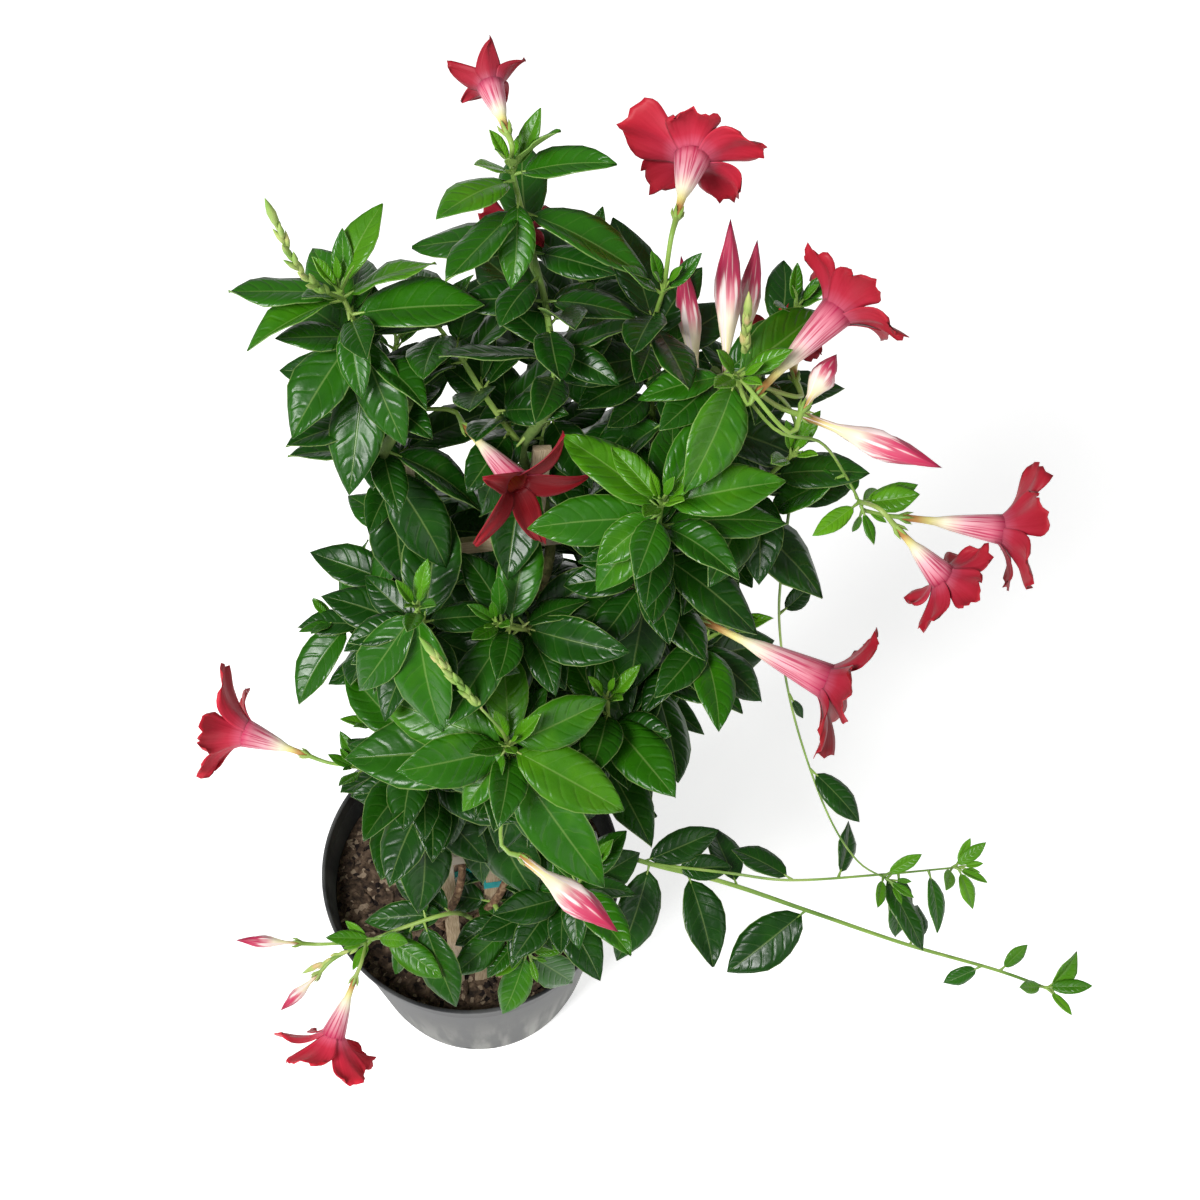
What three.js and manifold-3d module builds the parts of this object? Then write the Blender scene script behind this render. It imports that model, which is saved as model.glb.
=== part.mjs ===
// Mandevilla, a climbing vine, on a fan trellis in its nursery pot.
// Units are millimetres, +Z is up, and the origin is the middle of the pot's underside.
import * as THREE from 'three';
import { mergeVertices } from 'three/addons/utils/BufferGeometryUtils.js';
import Module from 'manifold-3d';

const wasm = await Module();
wasm.setup();

// Pot and potting mix
const potHeight = 230;
const rimRadius = 125;
const footRadius = 97;
const wall = 2.4;
const floorThickness = 3;
const rimBand = 16;
const potSegments = 32;
const heelRadius = 100;
const heelHeight = 22;
const drainPairs = 4;
const drainRadius = 4.5;
const drainHeight = 9;
const drainBearing = -96;
const drainSpread = 6;
const mixLevel = 193;
const mixSegments = 24;
const mixRings = [100, 72, 36];
const mixLump = 7;
const mixSpare = 1.3;
const seatGap = 0.3;

// Fan trellis: three laths on one sloping plane, spread by cross laths
const lathWidth = 11;
const lathThickness = 4.5;
const lathFoot = new THREE.Vector3(-10, -99, 125);
const lathTop = new THREE.Vector3(74, 53, 850);
const footSpacing = 13;
const topSpacing = 85;
const crossHeights = [385, 555, 725];
const crossOverhang = 6;
const lathEnd = 795;

// Tie: a tape band round the middle lath, with one loose end
const tieHeight = 335;
const tieWidth = 7;
const tieThickness = 0.9;
const tieTail = [[0, 0], [12, 9], [26, 7], [38, 14]];

// Woody stems twine up the laths, one turn between two cross laths
const twineRadius = 12;
const twinePitch = 170;
const twineFront = 500;
const woodyRadius = 3.2;
const woodyTop = 853;
const woodySides = 5;
const woodyStep = 30;
const woodyFootSpacing = 16;

// Green growth
const shootRadius = 2;
const shootSides = 4;
const shootStep = 34;
const pedicelRadius = 1.3;
const pedicelStep = 16;
const stalk = 5;
const rootDepth = 1.4;
const bladeThickness = 1.7;
const bladeFold = 0.22;
const bladeSides = 4;
const leafRatio = 0.2;
const leafClearance = 0.5;
const leafOverlap = 6;
const tries = 16;
const green = 0x2f6b22;
const vineGreen = 0x4c7a35;
const bark = 0x7a6048;
const crimson = 0xb3202f;
const budPink = 0xc2456b;

// Leafy shoots. Each leaves a woody stem at a height and follows its route. Its own leaves are
// [distance below the tip, azimuth, elevation, length] in mm and degrees; further opposite pairs
// stand along it from the first distance on.
const shoots = [
  {
    name: 'shoot_crown', stem: 'middle', height: 846,
    route: [[74, 72, 885], [66, 98, 925], [60, 104, 965]],
    leaves: [[4, 356, 57, 38], [8, 345, 29, 55], [12, 212, 25, 52], [30, 226, 5, 62], [34, 335, -8, 75],
      [22, 258, -12, 50], [48, 90, 10, 60], [52, 170, 5, 62]],
    first: 22, spacing: 24, pairs: 2, leafLength: 61, bearing: 20,
  },
  {
    name: 'shoot_left_crown', stem: 'left', height: 797,
    route: [[-22, 62, 838], [-28, 76, 878], [-35, 85, 903]],
    leaves: [[4, 176, 10, 58], [8, 202, 12, 56], [2, 55, 40, 50], [7, 15, 25, 52], [18, 350, 18, 72],
      [16, 270, -20, 47], [28, 286, -30, 67], [30, 228, -12, 67], [46, 254, -28, 76], [20, 110, 10, 54],
      [40, 130, 0, 59]],
    first: 26, spacing: 26, pairs: 1, leafLength: 64, bearing: 60,
  },
  {
    name: 'shoot_top_right', stem: 'right', height: 755,
    route: [[134, 64, 800], [133, 72, 850], [137, 68, 898]],
    leaves: [],
    first: 26, spacing: 28, pairs: 4, leafLength: 63, bearing: 10,
  },
  {
    name: 'shoot_right_crown', stem: 'right', height: 846,
    route: [[168, 28, 868], [170, 16, 882]],
    leaves: [[6, 244, -14, 66], [12, 30, 5, 70], [20, 184, 0, 50]],
    first: 14, spacing: 14, pairs: 1, leafLength: 59, bearing: 30,
  },
  {
    name: 'shoot_right_rosette', stem: 'right', height: 670,
    route: [[123, -10, 720], [125, -20, 780], [124, -27, 836]],
    leaves: [[12, 135, 22, 67], [4, 128, 26, 41], [3, 44, 34, 61], [6, 358, 20, 67], [22, 172, 8, 76],
      [14, 208, -12, 45], [20, 210, -26, 56], [70, 320, -10, 76], [34, 0, 5, 72], [40, 90, 0, 63]],
    first: 24, spacing: 28, pairs: 2, leafLength: 68, bearing: 28,
  },
  {
    name: 'shoot_middle_rosette', stem: 'middle', height: 500,
    route: [[34, -54, 560], [32, -74, 620], [30, -84, 668]],
    leaves: [[10, 155, 14, 84], [18, 176, 4, 100], [14, 188, -2, 86], [3, 84, 30, 64], [6, 13, 11, 66],
      [12, 326, -8, 80], [30, 297, -14, 100], [8, 228, -18, 50], [36, 120, 0, 70], [40, 30, -6, 74]],
    first: 30, spacing: 30, pairs: 2, leafLength: 66, bearing: 10,
  },
  {
    name: 'shoot_low_left', stem: 'middle', height: 287,
    route: [[-18, -84, 365], [-50, -90, 368], [-84, -96, 360]],
    leaves: [[70, 176, 6, 62], [78, 140, 17, 56], [46, 283, -26, 70], [48, 100, 22, 54], [38, 229, -40, 44],
      [14, 320, -10, 56]],
    first: 90, spacing: 20, pairs: 0, leafLength: 55, bearing: 0,
  },
  {
    name: 'shoot_left_flower', stem: 'left', height: 457,
    route: [[-48, -24, 490], [-72, -18, 508]],
    leaves: [],
    first: 16, spacing: 22, pairs: 1, leafLength: 66, bearing: 84,
  },
  {
    name: 'shoot_left_middle', stem: 'left', height: 627,
    route: [[-24, 20, 668], [-18, 36, 708], [-13, 50, 738]],
    leaves: [[4, 272, -34, 78], [10, 234, -44, 66], [24, 292, -45, 84]],
    first: 26, spacing: 30, pairs: 2, leafLength: 66, bearing: 72,
  },
  {
    name: 'shoot_left_back', stem: 'left', height: 585,
    route: [[-30, 34, 592], [-52, 48, 600], [-74, 52, 596]],
    leaves: [],
    first: 22, spacing: 22, pairs: 3, leafLength: 63, bearing: 20,
  },
  {
    name: 'shoot_top_left', stem: 'middle', height: 797,
    route: [[38, 62, 822], [24, 82, 842], [12, 94, 858]],
    leaves: [],
    first: 22, spacing: 19, pairs: 4, leafLength: 63, bearing: 10,
  },
  {
    name: 'shoot_top_back', stem: 'middle', height: 755,
    route: [[80, 82, 790], [95, 106, 832], [106, 118, 872]],
    leaves: [],
    first: 38, spacing: 28, pairs: 3, leafLength: 68, bearing: 70,
  },
  {
    name: 'shoot_right_back', stem: 'right', height: 712,
    route: [[176, 48, 765], [200, 66, 826], [214, 70, 868]],
    leaves: [],
    first: 44, spacing: 30, pairs: 3, leafLength: 66, bearing: 15,
  },
  {
    name: 'shoot_right_middle', stem: 'right', height: 700,
    route: [[168, 14, 738], [190, 8, 786], [205, 4, 820]],
    leaves: [],
    first: 34, spacing: 30, pairs: 3, leafLength: 70, bearing: 50,
  },
  {
    name: 'shoot_right_low', stem: 'right', height: 542,
    route: [[132, -18, 590], [156, -20, 636], [178, -26, 676]],
    leaves: [],
    first: 28, spacing: 30, pairs: 4, leafLength: 72, bearing: 0,
  },
  {
    name: 'shoot_back_right', stem: 'right', height: 585,
    route: [[122, 40, 620], [146, 66, 655], [160, 84, 690]],
    leaves: [],
    first: 34, spacing: 30, pairs: 3, leafLength: 70, bearing: 80,
  },
  {
    name: 'shoot_front', stem: 'right', height: 500,
    route: [[94, -50, 545], [98, -52, 595], [96, -48, 640]],
    leaves: [],
    first: 26, spacing: 30, pairs: 4, leafLength: 72, bearing: 30,
  },
  {
    name: 'shoot_left_front', stem: 'left', height: 500,
    route: [[-20, -50, 530], [-26, -54, 570], [-26, -48, 610]],
    leaves: [],
    first: 28, spacing: 26, pairs: 4, leafLength: 66, bearing: 48,
  },
  {
    name: 'shoot_low_right', stem: 'right', height: 330,
    route: [[54, -86, 356], [68, -92, 396], [84, -88, 440]],
    leaves: [],
    first: 22, spacing: 24, pairs: 4, leafLength: 66, bearing: 20,
  },
  {
    name: 'shoot_low_front', stem: 'middle', height: 330,
    route: [[20, -86, 334], [30, -98, 322], [38, -106, 300]],
    leaves: [[4, 335, -50, 64], [8, 240, -40, 60], [18, 20, -10, 60]],
    first: 24, spacing: 20, pairs: 1, leafLength: 55, bearing: 0,
  },
  {
    name: 'shoot_low_back_left', stem: 'left', height: 415,
    route: [[-32, 8, 432], [-46, 26, 448], [-60, 36, 460]],
    leaves: [],
    first: 24, spacing: 26, pairs: 2, leafLength: 60, bearing: 345,
  },
  {
    name: 'shoot_back_left', stem: 'left', height: 755,
    route: [[-18, 76, 770], [-16, 104, 784], [-8, 128, 796]],
    leaves: [],
    first: 24, spacing: 28, pairs: 3, leafLength: 66, bearing: 0,
  },
  {
    name: 'shoot_back_middle', stem: 'middle', height: 585,
    route: [[46, 44, 606], [50, 76, 640], [54, 102, 680]],
    leaves: [],
    first: 30, spacing: 32, pairs: 3, leafLength: 70, bearing: 20,
  },
  {
    name: 'shoot_back_low', stem: 'middle', height: 415,
    route: [[18, 8, 436], [10, 42, 470], [2, 70, 512]],
    leaves: [],
    first: 30, spacing: 32, pairs: 3, leafLength: 70, bearing: 60,
  },
  {
    name: 'shoot_back_low_right', stem: 'right', height: 415,
    route: [[78, 8, 440], [94, 38, 476], [106, 64, 520]],
    leaves: [],
    first: 30, spacing: 32, pairs: 3, leafLength: 70, bearing: 10,
  },
  {
    name: 'shoot_trailing', stem: 'right', height: 372,
    route: [[100, -56, 380], [140, -72, 376], [190, -88, 364], [250, -116, 356], [320, -146, 340],
      [390, -170, 320],
      [432, -188, 308]],
    leaves: [[330, 248, -17, 76], [300, 282, -14, 72], [205, 209, -14, 76], [335, 11, 12, 62],
      [312, 350, 10, 46],
      [60, 196, -18, 32], [45, 30, 22, 30], [4, 28, 23, 36], [120, 60, -10, 40], [260, 100, -8, 56]],
    first: 60, spacing: 40, pairs: 0, leafLength: 50, bearing: 0,
  },
  {
    name: 'shoot_middle_front', stem: 'middle', height: 670,
    route: [[52, -20, 692], [42, -32, 716], [30, -38, 738]],
    leaves: [],
    first: 20, spacing: 24, pairs: 3, leafLength: 66, bearing: 60,
  },
  {
    name: 'shoot_left_column', stem: 'left', height: 670,
    route: [[-10, -24, 700], [-12, -33, 735], [-14, -36, 766]],
    leaves: [[3, 268, -46, 80], [6, 236, -44, 72]],
    first: 24, spacing: 26, pairs: 3, leafLength: 66, bearing: 62,
  },
  {
    name: 'shoot_pair', parent: 'shoot_right_crown', back: 16, radius: 1.1,
    route: [[190, 0, 852], [216, -2, 838], [234, -6, 806], [246, -16, 782]],
    leaves: [[6, 350, 20, 34], [10, 100, 10, 30], [30, 170, -40, 58]],
    first: 20, spacing: 30, pairs: 0, leafLength: 46, bearing: 0,
  },
  {
    name: 'shoot_hanging', parent: 'shoot_right_crown', back: 24, radius: 1.1,
    route: [[194, 26, 850], [212, 24, 806], [211, 4, 725], [214, -10, 640], [230, -34, 545],
      [258, -70, 450],
      [282, -98, 408], [306, -114, 398]],
    leaves: [[404, 12, 22, 48], [410, 146, 10, 26], [131, 309, -6, 50], [214, 300, -30, 20],
      [300, 30, 10, 30]],
    first: 120, spacing: 66, pairs: 0, leafLength: 42, bearing: 30,
  },
  {
    name: 'shoot_trailing_upper', parent: 'shoot_trailing', back: 330, radius: 1.2,
    route: [[190, -84, 376], [234, -100, 388], [301, -106, 392], [364, -105, 382]],
    leaves: [[130, 140, 6, 50], [62, 293, -9, 62], [50, 268, -30, 50], [26, 275, -8, 46], [2, 286, -8, 32],
      [96, 60, 10, 44]],
    first: 24, spacing: 50, pairs: 0, leafLength: 46, bearing: 20,
  },
];

// Open blooms: foot of the tube, its direction, and the size of tube and lobes
const blooms = [
  { name: 'bloom_top', shoot: 'shoot_crown', back: 0, base: [59, 106, 985], axis: [-0.15, 0.98, 0.02],
    tube: 31, mouth: 7, lobe: 15, flare: 32, lobeHalfAngle: 22, roll: 0 },
  { name: 'bloom_behind_crown', shoot: 'shoot_crown', back: 78, base: [68, 112, 884],
    axis: [-0.08, 0.94, -0.33], tube: 26, mouth: 8, lobe: 14, flare: 57, lobeHalfAngle: 27, roll: 0 },
  { name: 'bloom_top_right', shoot: 'shoot_top_right', back: 0, base: [145, 88, 930],
    axis: [0.35, 0.93, 0], tube: 42, mouth: 10, lobe: 28, flare: 56, lobeHalfAngle: 28, roll: 60 },
  { name: 'bloom_right', shoot: 'shoot_right_crown', back: 4, base: [178, 10, 872], axis: [0.78, 0.57, 0.28],
    tube: 64, mouth: 10, lobe: 31, flare: 34, lobeHalfAngle: 28, roll: 0 },
  { name: 'bloom_right_behind', shoot: 'shoot_right_crown', back: 12, base: [210, 40, 839],
    axis: [0.12, 0.94, -0.31], tube: 36, mouth: 8, lobe: 16, flare: 44, lobeHalfAngle: 27, roll: 50 },
  { name: 'bloom_far_upper', shoot: 'shoot_pair', back: 0, base: [269, -20, 776], axis: [0.97, -0.23, -0.06],
    tube: 58, mouth: 9, lobe: 29, flare: 38, lobeHalfAngle: 28, roll: 0 },
  { name: 'bloom_far_lower', shoot: 'shoot_pair', back: 8, base: [256, -42, 804], axis: [0.62, -0.52, -0.58],
    tube: 41, mouth: 8.5, lobe: 24, flare: 42, lobeHalfAngle: 27, roll: 8 },
  { name: 'bloom_centre', shoot: 'shoot_left_crown', back: 84, base: [24, 50, 813],
    axis: [0.46, -0.87, 0.17], tube: 54, mouth: 8, lobe: 36, flare: 40, lobeHalfAngle: 22, roll: 64 },
  { name: 'bloom_right_low', shoot: 'shoot_right_rosette', back: 128, base: [153, -40, 714],
    axis: [0.82, -0.57, -0.07], tube: 82, mouth: 11, lobe: 33, flare: 36, lobeHalfAngle: 28, roll: 30 },
  { name: 'bloom_left', shoot: 'shoot_left_flower', back: 0, base: [-105, -1, 499],
    axis: [-0.89, 0.45, 0.07], tube: 46, mouth: 10, lobe: 36, flare: 26, lobeHalfAngle: 27, roll: 30 },
  { name: 'bloom_low_left', shoot: 'shoot_low_left', back: 0, base: [-94, -123, 363],
    axis: [-0.46, -0.73, -0.51], tube: 46, mouth: 9, lobe: 31, flare: 36, lobeHalfAngle: 26, roll: 60 },
];

const buds = [
  { name: 'bud_right_first', shoot: 'shoot_right_crown', back: 28, base: [157, 45, 827],
    axis: [-0.04, 0.79, 0.61], tube: 78, girth: 6.5, roll: 0 },
  { name: 'bud_right_second', shoot: 'shoot_right_crown', back: 20, base: [171, 42, 835],
    axis: [0.11, 0.76, 0.64], tube: 93, girth: 7.5, roll: 0 },
  { name: 'bud_right_third', shoot: 'shoot_right_crown', back: 8, base: [184, 62, 828],
    axis: [0.21, 0.74, 0.64], tube: 70, girth: 6, roll: 0 },
  { name: 'bud_right_short', shoot: 'shoot_right_crown', back: 0, base: [204, 4, 863],
    axis: [0.62, 0.78, 0.09], tube: 40, girth: 7, roll: 0 },
  { name: 'bud_right_long', shoot: 'shoot_right_crown', back: 0, base: [208, 12, 845],
    axis: [0.8, -0.59, 0.11], tube: 82, girth: 7.5, roll: 0 },
  { name: 'bud_middle', shoot: 'shoot_middle_rosette', back: 30, base: [31, -130, 596],
    axis: [0.69, -0.73, 0], tube: 78, girth: 9.5, roll: 0 },
  { name: 'bud_low_left', shoot: 'shoot_low_left', back: 0, base: [-135, -84, 341],
    axis: [-0.95, 0.08, 0.31], tube: 48, girth: 4.5, roll: 0 },
  { name: 'bud_low_left_small', shoot: 'shoot_low_left', back: 0, base: [-123, -108, 336],
    axis: [-0.79, -0.5, -0.36], tube: 40, girth: 4.5, roll: 0 },
];

// Repeatable scatter between 0 and 1 from two whole numbers
function scatter(a, b) {
  const value = Math.sin(a * 12.9898 + b * 78.233) * 43758.5453;
  return value - Math.floor(value);
}

function radians(degrees) {
  return degrees * Math.PI / 180;
}

function heading(azimuth, elevation) {
  const level = Math.cos(radians(elevation));
  return new THREE.Vector3(
    Math.cos(radians(azimuth)) * level,
    Math.sin(radians(azimuth)) * level,
    Math.sin(radians(elevation)),
  );
}

function solidOf(geometry) {
  const bare = geometry.index ? geometry.toNonIndexed() : geometry.clone();
  bare.deleteAttribute('normal');
  bare.deleteAttribute('uv');
  const merged = mergeVertices(bare, 1e-4);
  return new wasm.Manifold(new wasm.Mesh({
    numProp: 3,
    vertProperties: new Float32Array(merged.attributes.position.array),
    triVerts: new Uint32Array(merged.index.array),
  }));
}

function geometryOf(solid) {
  const mesh = solid.getMesh();
  const geometry = new THREE.BufferGeometry();
  geometry.setAttribute('position', new THREE.BufferAttribute(mesh.vertProperties, 3));
  geometry.setIndex(new THREE.BufferAttribute(mesh.triVerts, 1));
  geometry.computeVertexNormals();
  return geometry;
}

const group = new THREE.Group();

function addPiece(name, geometry, color, roughness) {
  const material = new THREE.MeshStandardMaterial({ color, roughness, metalness: 0 });
  const mesh = new THREE.Mesh(geometry, material);
  mesh.name = name;
  group.add(mesh);
}

function stepsOf(curve, step) {
  return Math.max(2, Math.round(curve.getLength() / step));
}

// A round stem of even thickness along a smooth curve
function stemSolid(curve, radius, sides, step) {
  const section = new THREE.Shape();
  for (let side = 0; side < sides; side += 1) {
    const angle = 2 * Math.PI * side / sides;
    if (side === 0) {
      section.moveTo(radius, 0);
    } else {
      section.lineTo(radius * Math.cos(angle), radius * Math.sin(angle));
    }
  }
  const steps = stepsOf(curve, step);
  return solidOf(new THREE.ExtrudeGeometry(section, { steps, extrudePath: curve, bevelEnabled: false }));
}

function smoothCurve(points) {
  return new THREE.CatmullRomCurve3(points, false, 'catmullrom', 0.5);
}

// Laths and the stems that twine up them
const lathSlope = lathTop.clone().sub(lathFoot).divideScalar(lathTop.z - lathFoot.z);
const lathLean = lathSlope.clone().normalize();
const sides = { left: -1, middle: 0, right: 1 };

function lathPoint(side, height) {
  const rise = height - lathFoot.z;
  const spacing = footSpacing + (topSpacing - footSpacing) * rise / (lathTop.z - lathFoot.z);
  return lathFoot.clone().addScaledVector(lathSlope, rise).add(new THREE.Vector3(side * spacing, 0, 0));
}

function twinePoint(side, height) {
  const turn = 2 * Math.PI * (height - twineFront) / twinePitch - Math.PI / 2;
  const reach = new THREE.Vector3(Math.cos(turn), Math.sin(turn), 0).multiplyScalar(twineRadius);
  return lathPoint(side, height).add(reach);
}

function barSolid(from, to, width, thickness) {
  const length = from.distanceTo(to);
  const bar = new THREE.BoxGeometry(width, thickness, length);
  const along = to.clone().sub(from).normalize();
  const across = new THREE.Vector3(1, 0, 0).addScaledVector(along, -along.x).normalize();
  const through = new THREE.Vector3().crossVectors(along, across);
  const middle = from.clone().add(to).multiplyScalar(0.5);
  bar.applyMatrix4(new THREE.Matrix4().makeBasis(across, through, along).setPosition(middle));
  return solidOf(bar);
}

// A lath lies flat on the slope of the trellis
function lathSolid(side, spare) {
  const from = lathPoint(side, lathFoot.z - spare);
  const to = lathPoint(side, lathEnd + spare);
  return barSolid(from, to, lathWidth + 2 * spare, lathThickness + 2 * spare);
}

// The front of the slope, and the way up it
const levelAcross = new THREE.Vector3(1, 0, 0);
const slopeBack = new THREE.Vector3().crossVectors(lathLean, levelAcross).normalize();
const slopeUp = new THREE.Vector3().crossVectors(levelAcross, slopeBack);

// Cross laths are stapled over the front of the three laths
function crossSolid(height) {
  const forward = slopeBack.clone().multiplyScalar(-lathThickness - seatGap);
  const from = lathPoint(-1, height).add(forward).addScaledVector(levelAcross, -crossOverhang);
  const to = lathPoint(1, height).add(forward).addScaledVector(levelAcross, crossOverhang);
  const bar = new THREE.BoxGeometry(from.distanceTo(to), lathThickness, lathWidth);
  const middle = from.clone().add(to).multiplyScalar(0.5);
  bar.applyMatrix4(new THREE.Matrix4().makeBasis(levelAcross, slopeBack, slopeUp).setPosition(middle));
  return solidOf(bar);
}

function rectangle(width, depth) {
  const outline = new THREE.Shape();
  outline.moveTo(-width / 2, -depth / 2);
  outline.lineTo(width / 2, -depth / 2);
  outline.lineTo(width / 2, depth / 2);
  outline.lineTo(-width / 2, depth / 2);
  outline.closePath();
  return outline;
}

function tieSolid() {
  const inner = [lathWidth + 2 * seatGap, lathThickness + 2 * seatGap];
  const band = rectangle(inner[0] + 2 * tieThickness, inner[1] + 2 * tieThickness);
  band.holes.push(rectangle(...inner));
  const left = -inner[0] / 2;
  const back = inner[1] / 2;
  const inside = tieTail.map(([x, y]) => new THREE.Vector2(left - x, back + y));
  const outside = inside.map((point) => new THREE.Vector2(point.x, point.y + tieThickness)).reverse();
  const tail = new THREE.Shape();
  tail.moveTo(inside[0].x, inside[0].y);
  tail.splineThru(inside.slice(1));
  tail.lineTo(outside[0].x, outside[0].y);
  tail.splineThru(outside.slice(1));
  const settings = { depth: tieWidth, bevelEnabled: false, curveSegments: 2 };
  const place = new THREE.Matrix4().makeBasis(levelAcross, slopeBack, lathLean)
    .setPosition(lathPoint(0, tieHeight));
  return solidOf(new THREE.ExtrudeGeometry(band, settings).applyMatrix4(place))
    .add(solidOf(new THREE.ExtrudeGeometry(tail, settings).applyMatrix4(place)));
}

function woodyCurve(side) {
  const points = [
    new THREE.Vector3(side * woodyFootSpacing - 8, -42, 150),
    new THREE.Vector3(side * woodyFootSpacing - 6, -46, 200),
  ];
  const join = side === 0 ? 250 : 300;
  for (let height = join; height <= woodyTop; height += twinePitch / 8) {
    points.push(twinePoint(side, height));
  }
  return smoothCurve(points);
}

function woodySolid(side, spare) {
  return stemSolid(woodyCurve(side), woodyRadius + spare, woodySides, woodyStep);
}

// The point at a distance up a shoot, on the straight run between two of its joints
function pointOn(shoot, distance) {
  const last = shoot.joints.length - 1;
  const reach = Math.min(0.999, Math.max(0.02, distance / shoot.length)) * last;
  const joint = Math.floor(reach);
  const from = shoot.joints[joint];
  const to = shoot.joints[joint + 1];
  return {
    point: from.clone().lerp(to, reach - joint),
    along: to.clone().sub(from).normalize(),
  };
}

// Where a leaf stands: its foot, the way it points, its upper side and its size
function leafPlace(shoot, index, attempt) {
  const draw = (kind) => scatter(shoot.number * 64 + index, attempt * 8 + kind) - 0.5;
  const wander = attempt === 0 ? 0 : 14 + 5 * attempt;
  let distance;
  let azimuth;
  let elevation;
  let length;
  let forward = 0;
  if (index < shoot.leaves.length) {
    [distance, azimuth, elevation, length] = shoot.leaves[index];
    distance = shoot.length - distance;
  } else {
    const order = index - shoot.leaves.length;
    const pair = Math.floor(order / 2);
    distance = shoot.first + pair * shoot.spacing;
    azimuth = shoot.bearing + 90 * pair + 180 * (order % 2) + 24 * draw(1);
    elevation = 6 + 30 * draw(2);
    length = shoot.leafLength * (1 + 0.28 * draw(3));
    forward = 0.3;
  }
  const { point: foot, along } = pointOn(shoot, distance);
  const outward = heading(azimuth + wander * draw(4), elevation + 0.8 * wander * draw(5));
  if (forward > 0) {
    outward.addScaledVector(along, forward - 0.8 * outward.dot(along)).normalize();
  }
  const size = length * (1 - 0.018 * attempt);
  const upper = new THREE.Vector3(0, 0, 0.8).addScaledVector(along, 0.25);
  upper.addScaledVector(new THREE.Vector3(foot.x - 60, foot.y - 20, 0).normalize(), 0.25);
  upper.addScaledVector(outward, -upper.dot(outward)).normalize();
  upper.applyAxisAngle(outward, radians(36 * draw(6)));
  return {
    foot,
    outward,
    upper,
    across: new THREE.Vector3().crossVectors(outward, upper),
    length: size,
    halfWidth: size * leafRatio * (1 + 0.25 * draw(7)),
    sag: 0.2 + 0.24 * draw(8),
  };
}

// A blade is a four-sided spindle drawn out flat: stalk, widest part, shoulder and point
function bladeSolid(place, spare) {
  const blade = place.length - stalk;
  const rows = [
    { at: place.length + spare, width: 0, thick: 0 },
    { at: stalk + blade * 0.7, width: place.halfWidth * 0.86, thick: bladeThickness / 2 },
    { at: stalk + blade * 0.3, width: place.halfWidth, thick: bladeThickness / 2 },
    { at: stalk, width: 1.4, thick: 1 },
    { at: -rootDepth, width: 0, thick: 0 },
  ];
  const spindle = new THREE.SphereGeometry(1, bladeSides, rows.length - 1);
  const position = spindle.attributes.position;
  const point = new THREE.Vector3();
  for (let index = 0; index < position.count; index += 1) {
    const row = rows[Math.floor(index / (bladeSides + 1))];
    const quarter = radians(90 * (index % (bladeSides + 1)));
    const side = row.width === 0 ? 0 : Math.sin(quarter);
    const face = row.width === 0 ? 0 : Math.cos(quarter);
    const beyond = Math.max(0, row.at - stalk);
    const lift = face * (row.thick + spare) + Math.abs(side) * bladeFold * row.width
      - place.sag * beyond * beyond / place.length;
    point.copy(place.foot)
      .addScaledVector(place.outward, row.at)
      .addScaledVector(place.across, side * (row.width + spare))
      .addScaledVector(place.upper, lift);
    position.setXYZ(index, point.x, point.y, point.z);
  }
  return solidOf(spindle);
}

// Open blooms: a funnel whose mouth spreads into five lobes. Each lobe takes four spokes: its
// middle, its two sides and the notch between it and the next
const lobeCount = 5;
const lobeSpokes = 4;
const lobeTurn = 360 / lobeCount;
const spokeReach = [1, 0.86, 0.42, 0.86];
const notch = 2;
const midRings = [4, 6];
const rimRing = 5;
const innerRows = [5, 6];
const rimCurl = 30;
const lobeThickness = 2;
const rimSwirl = 3;

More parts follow.
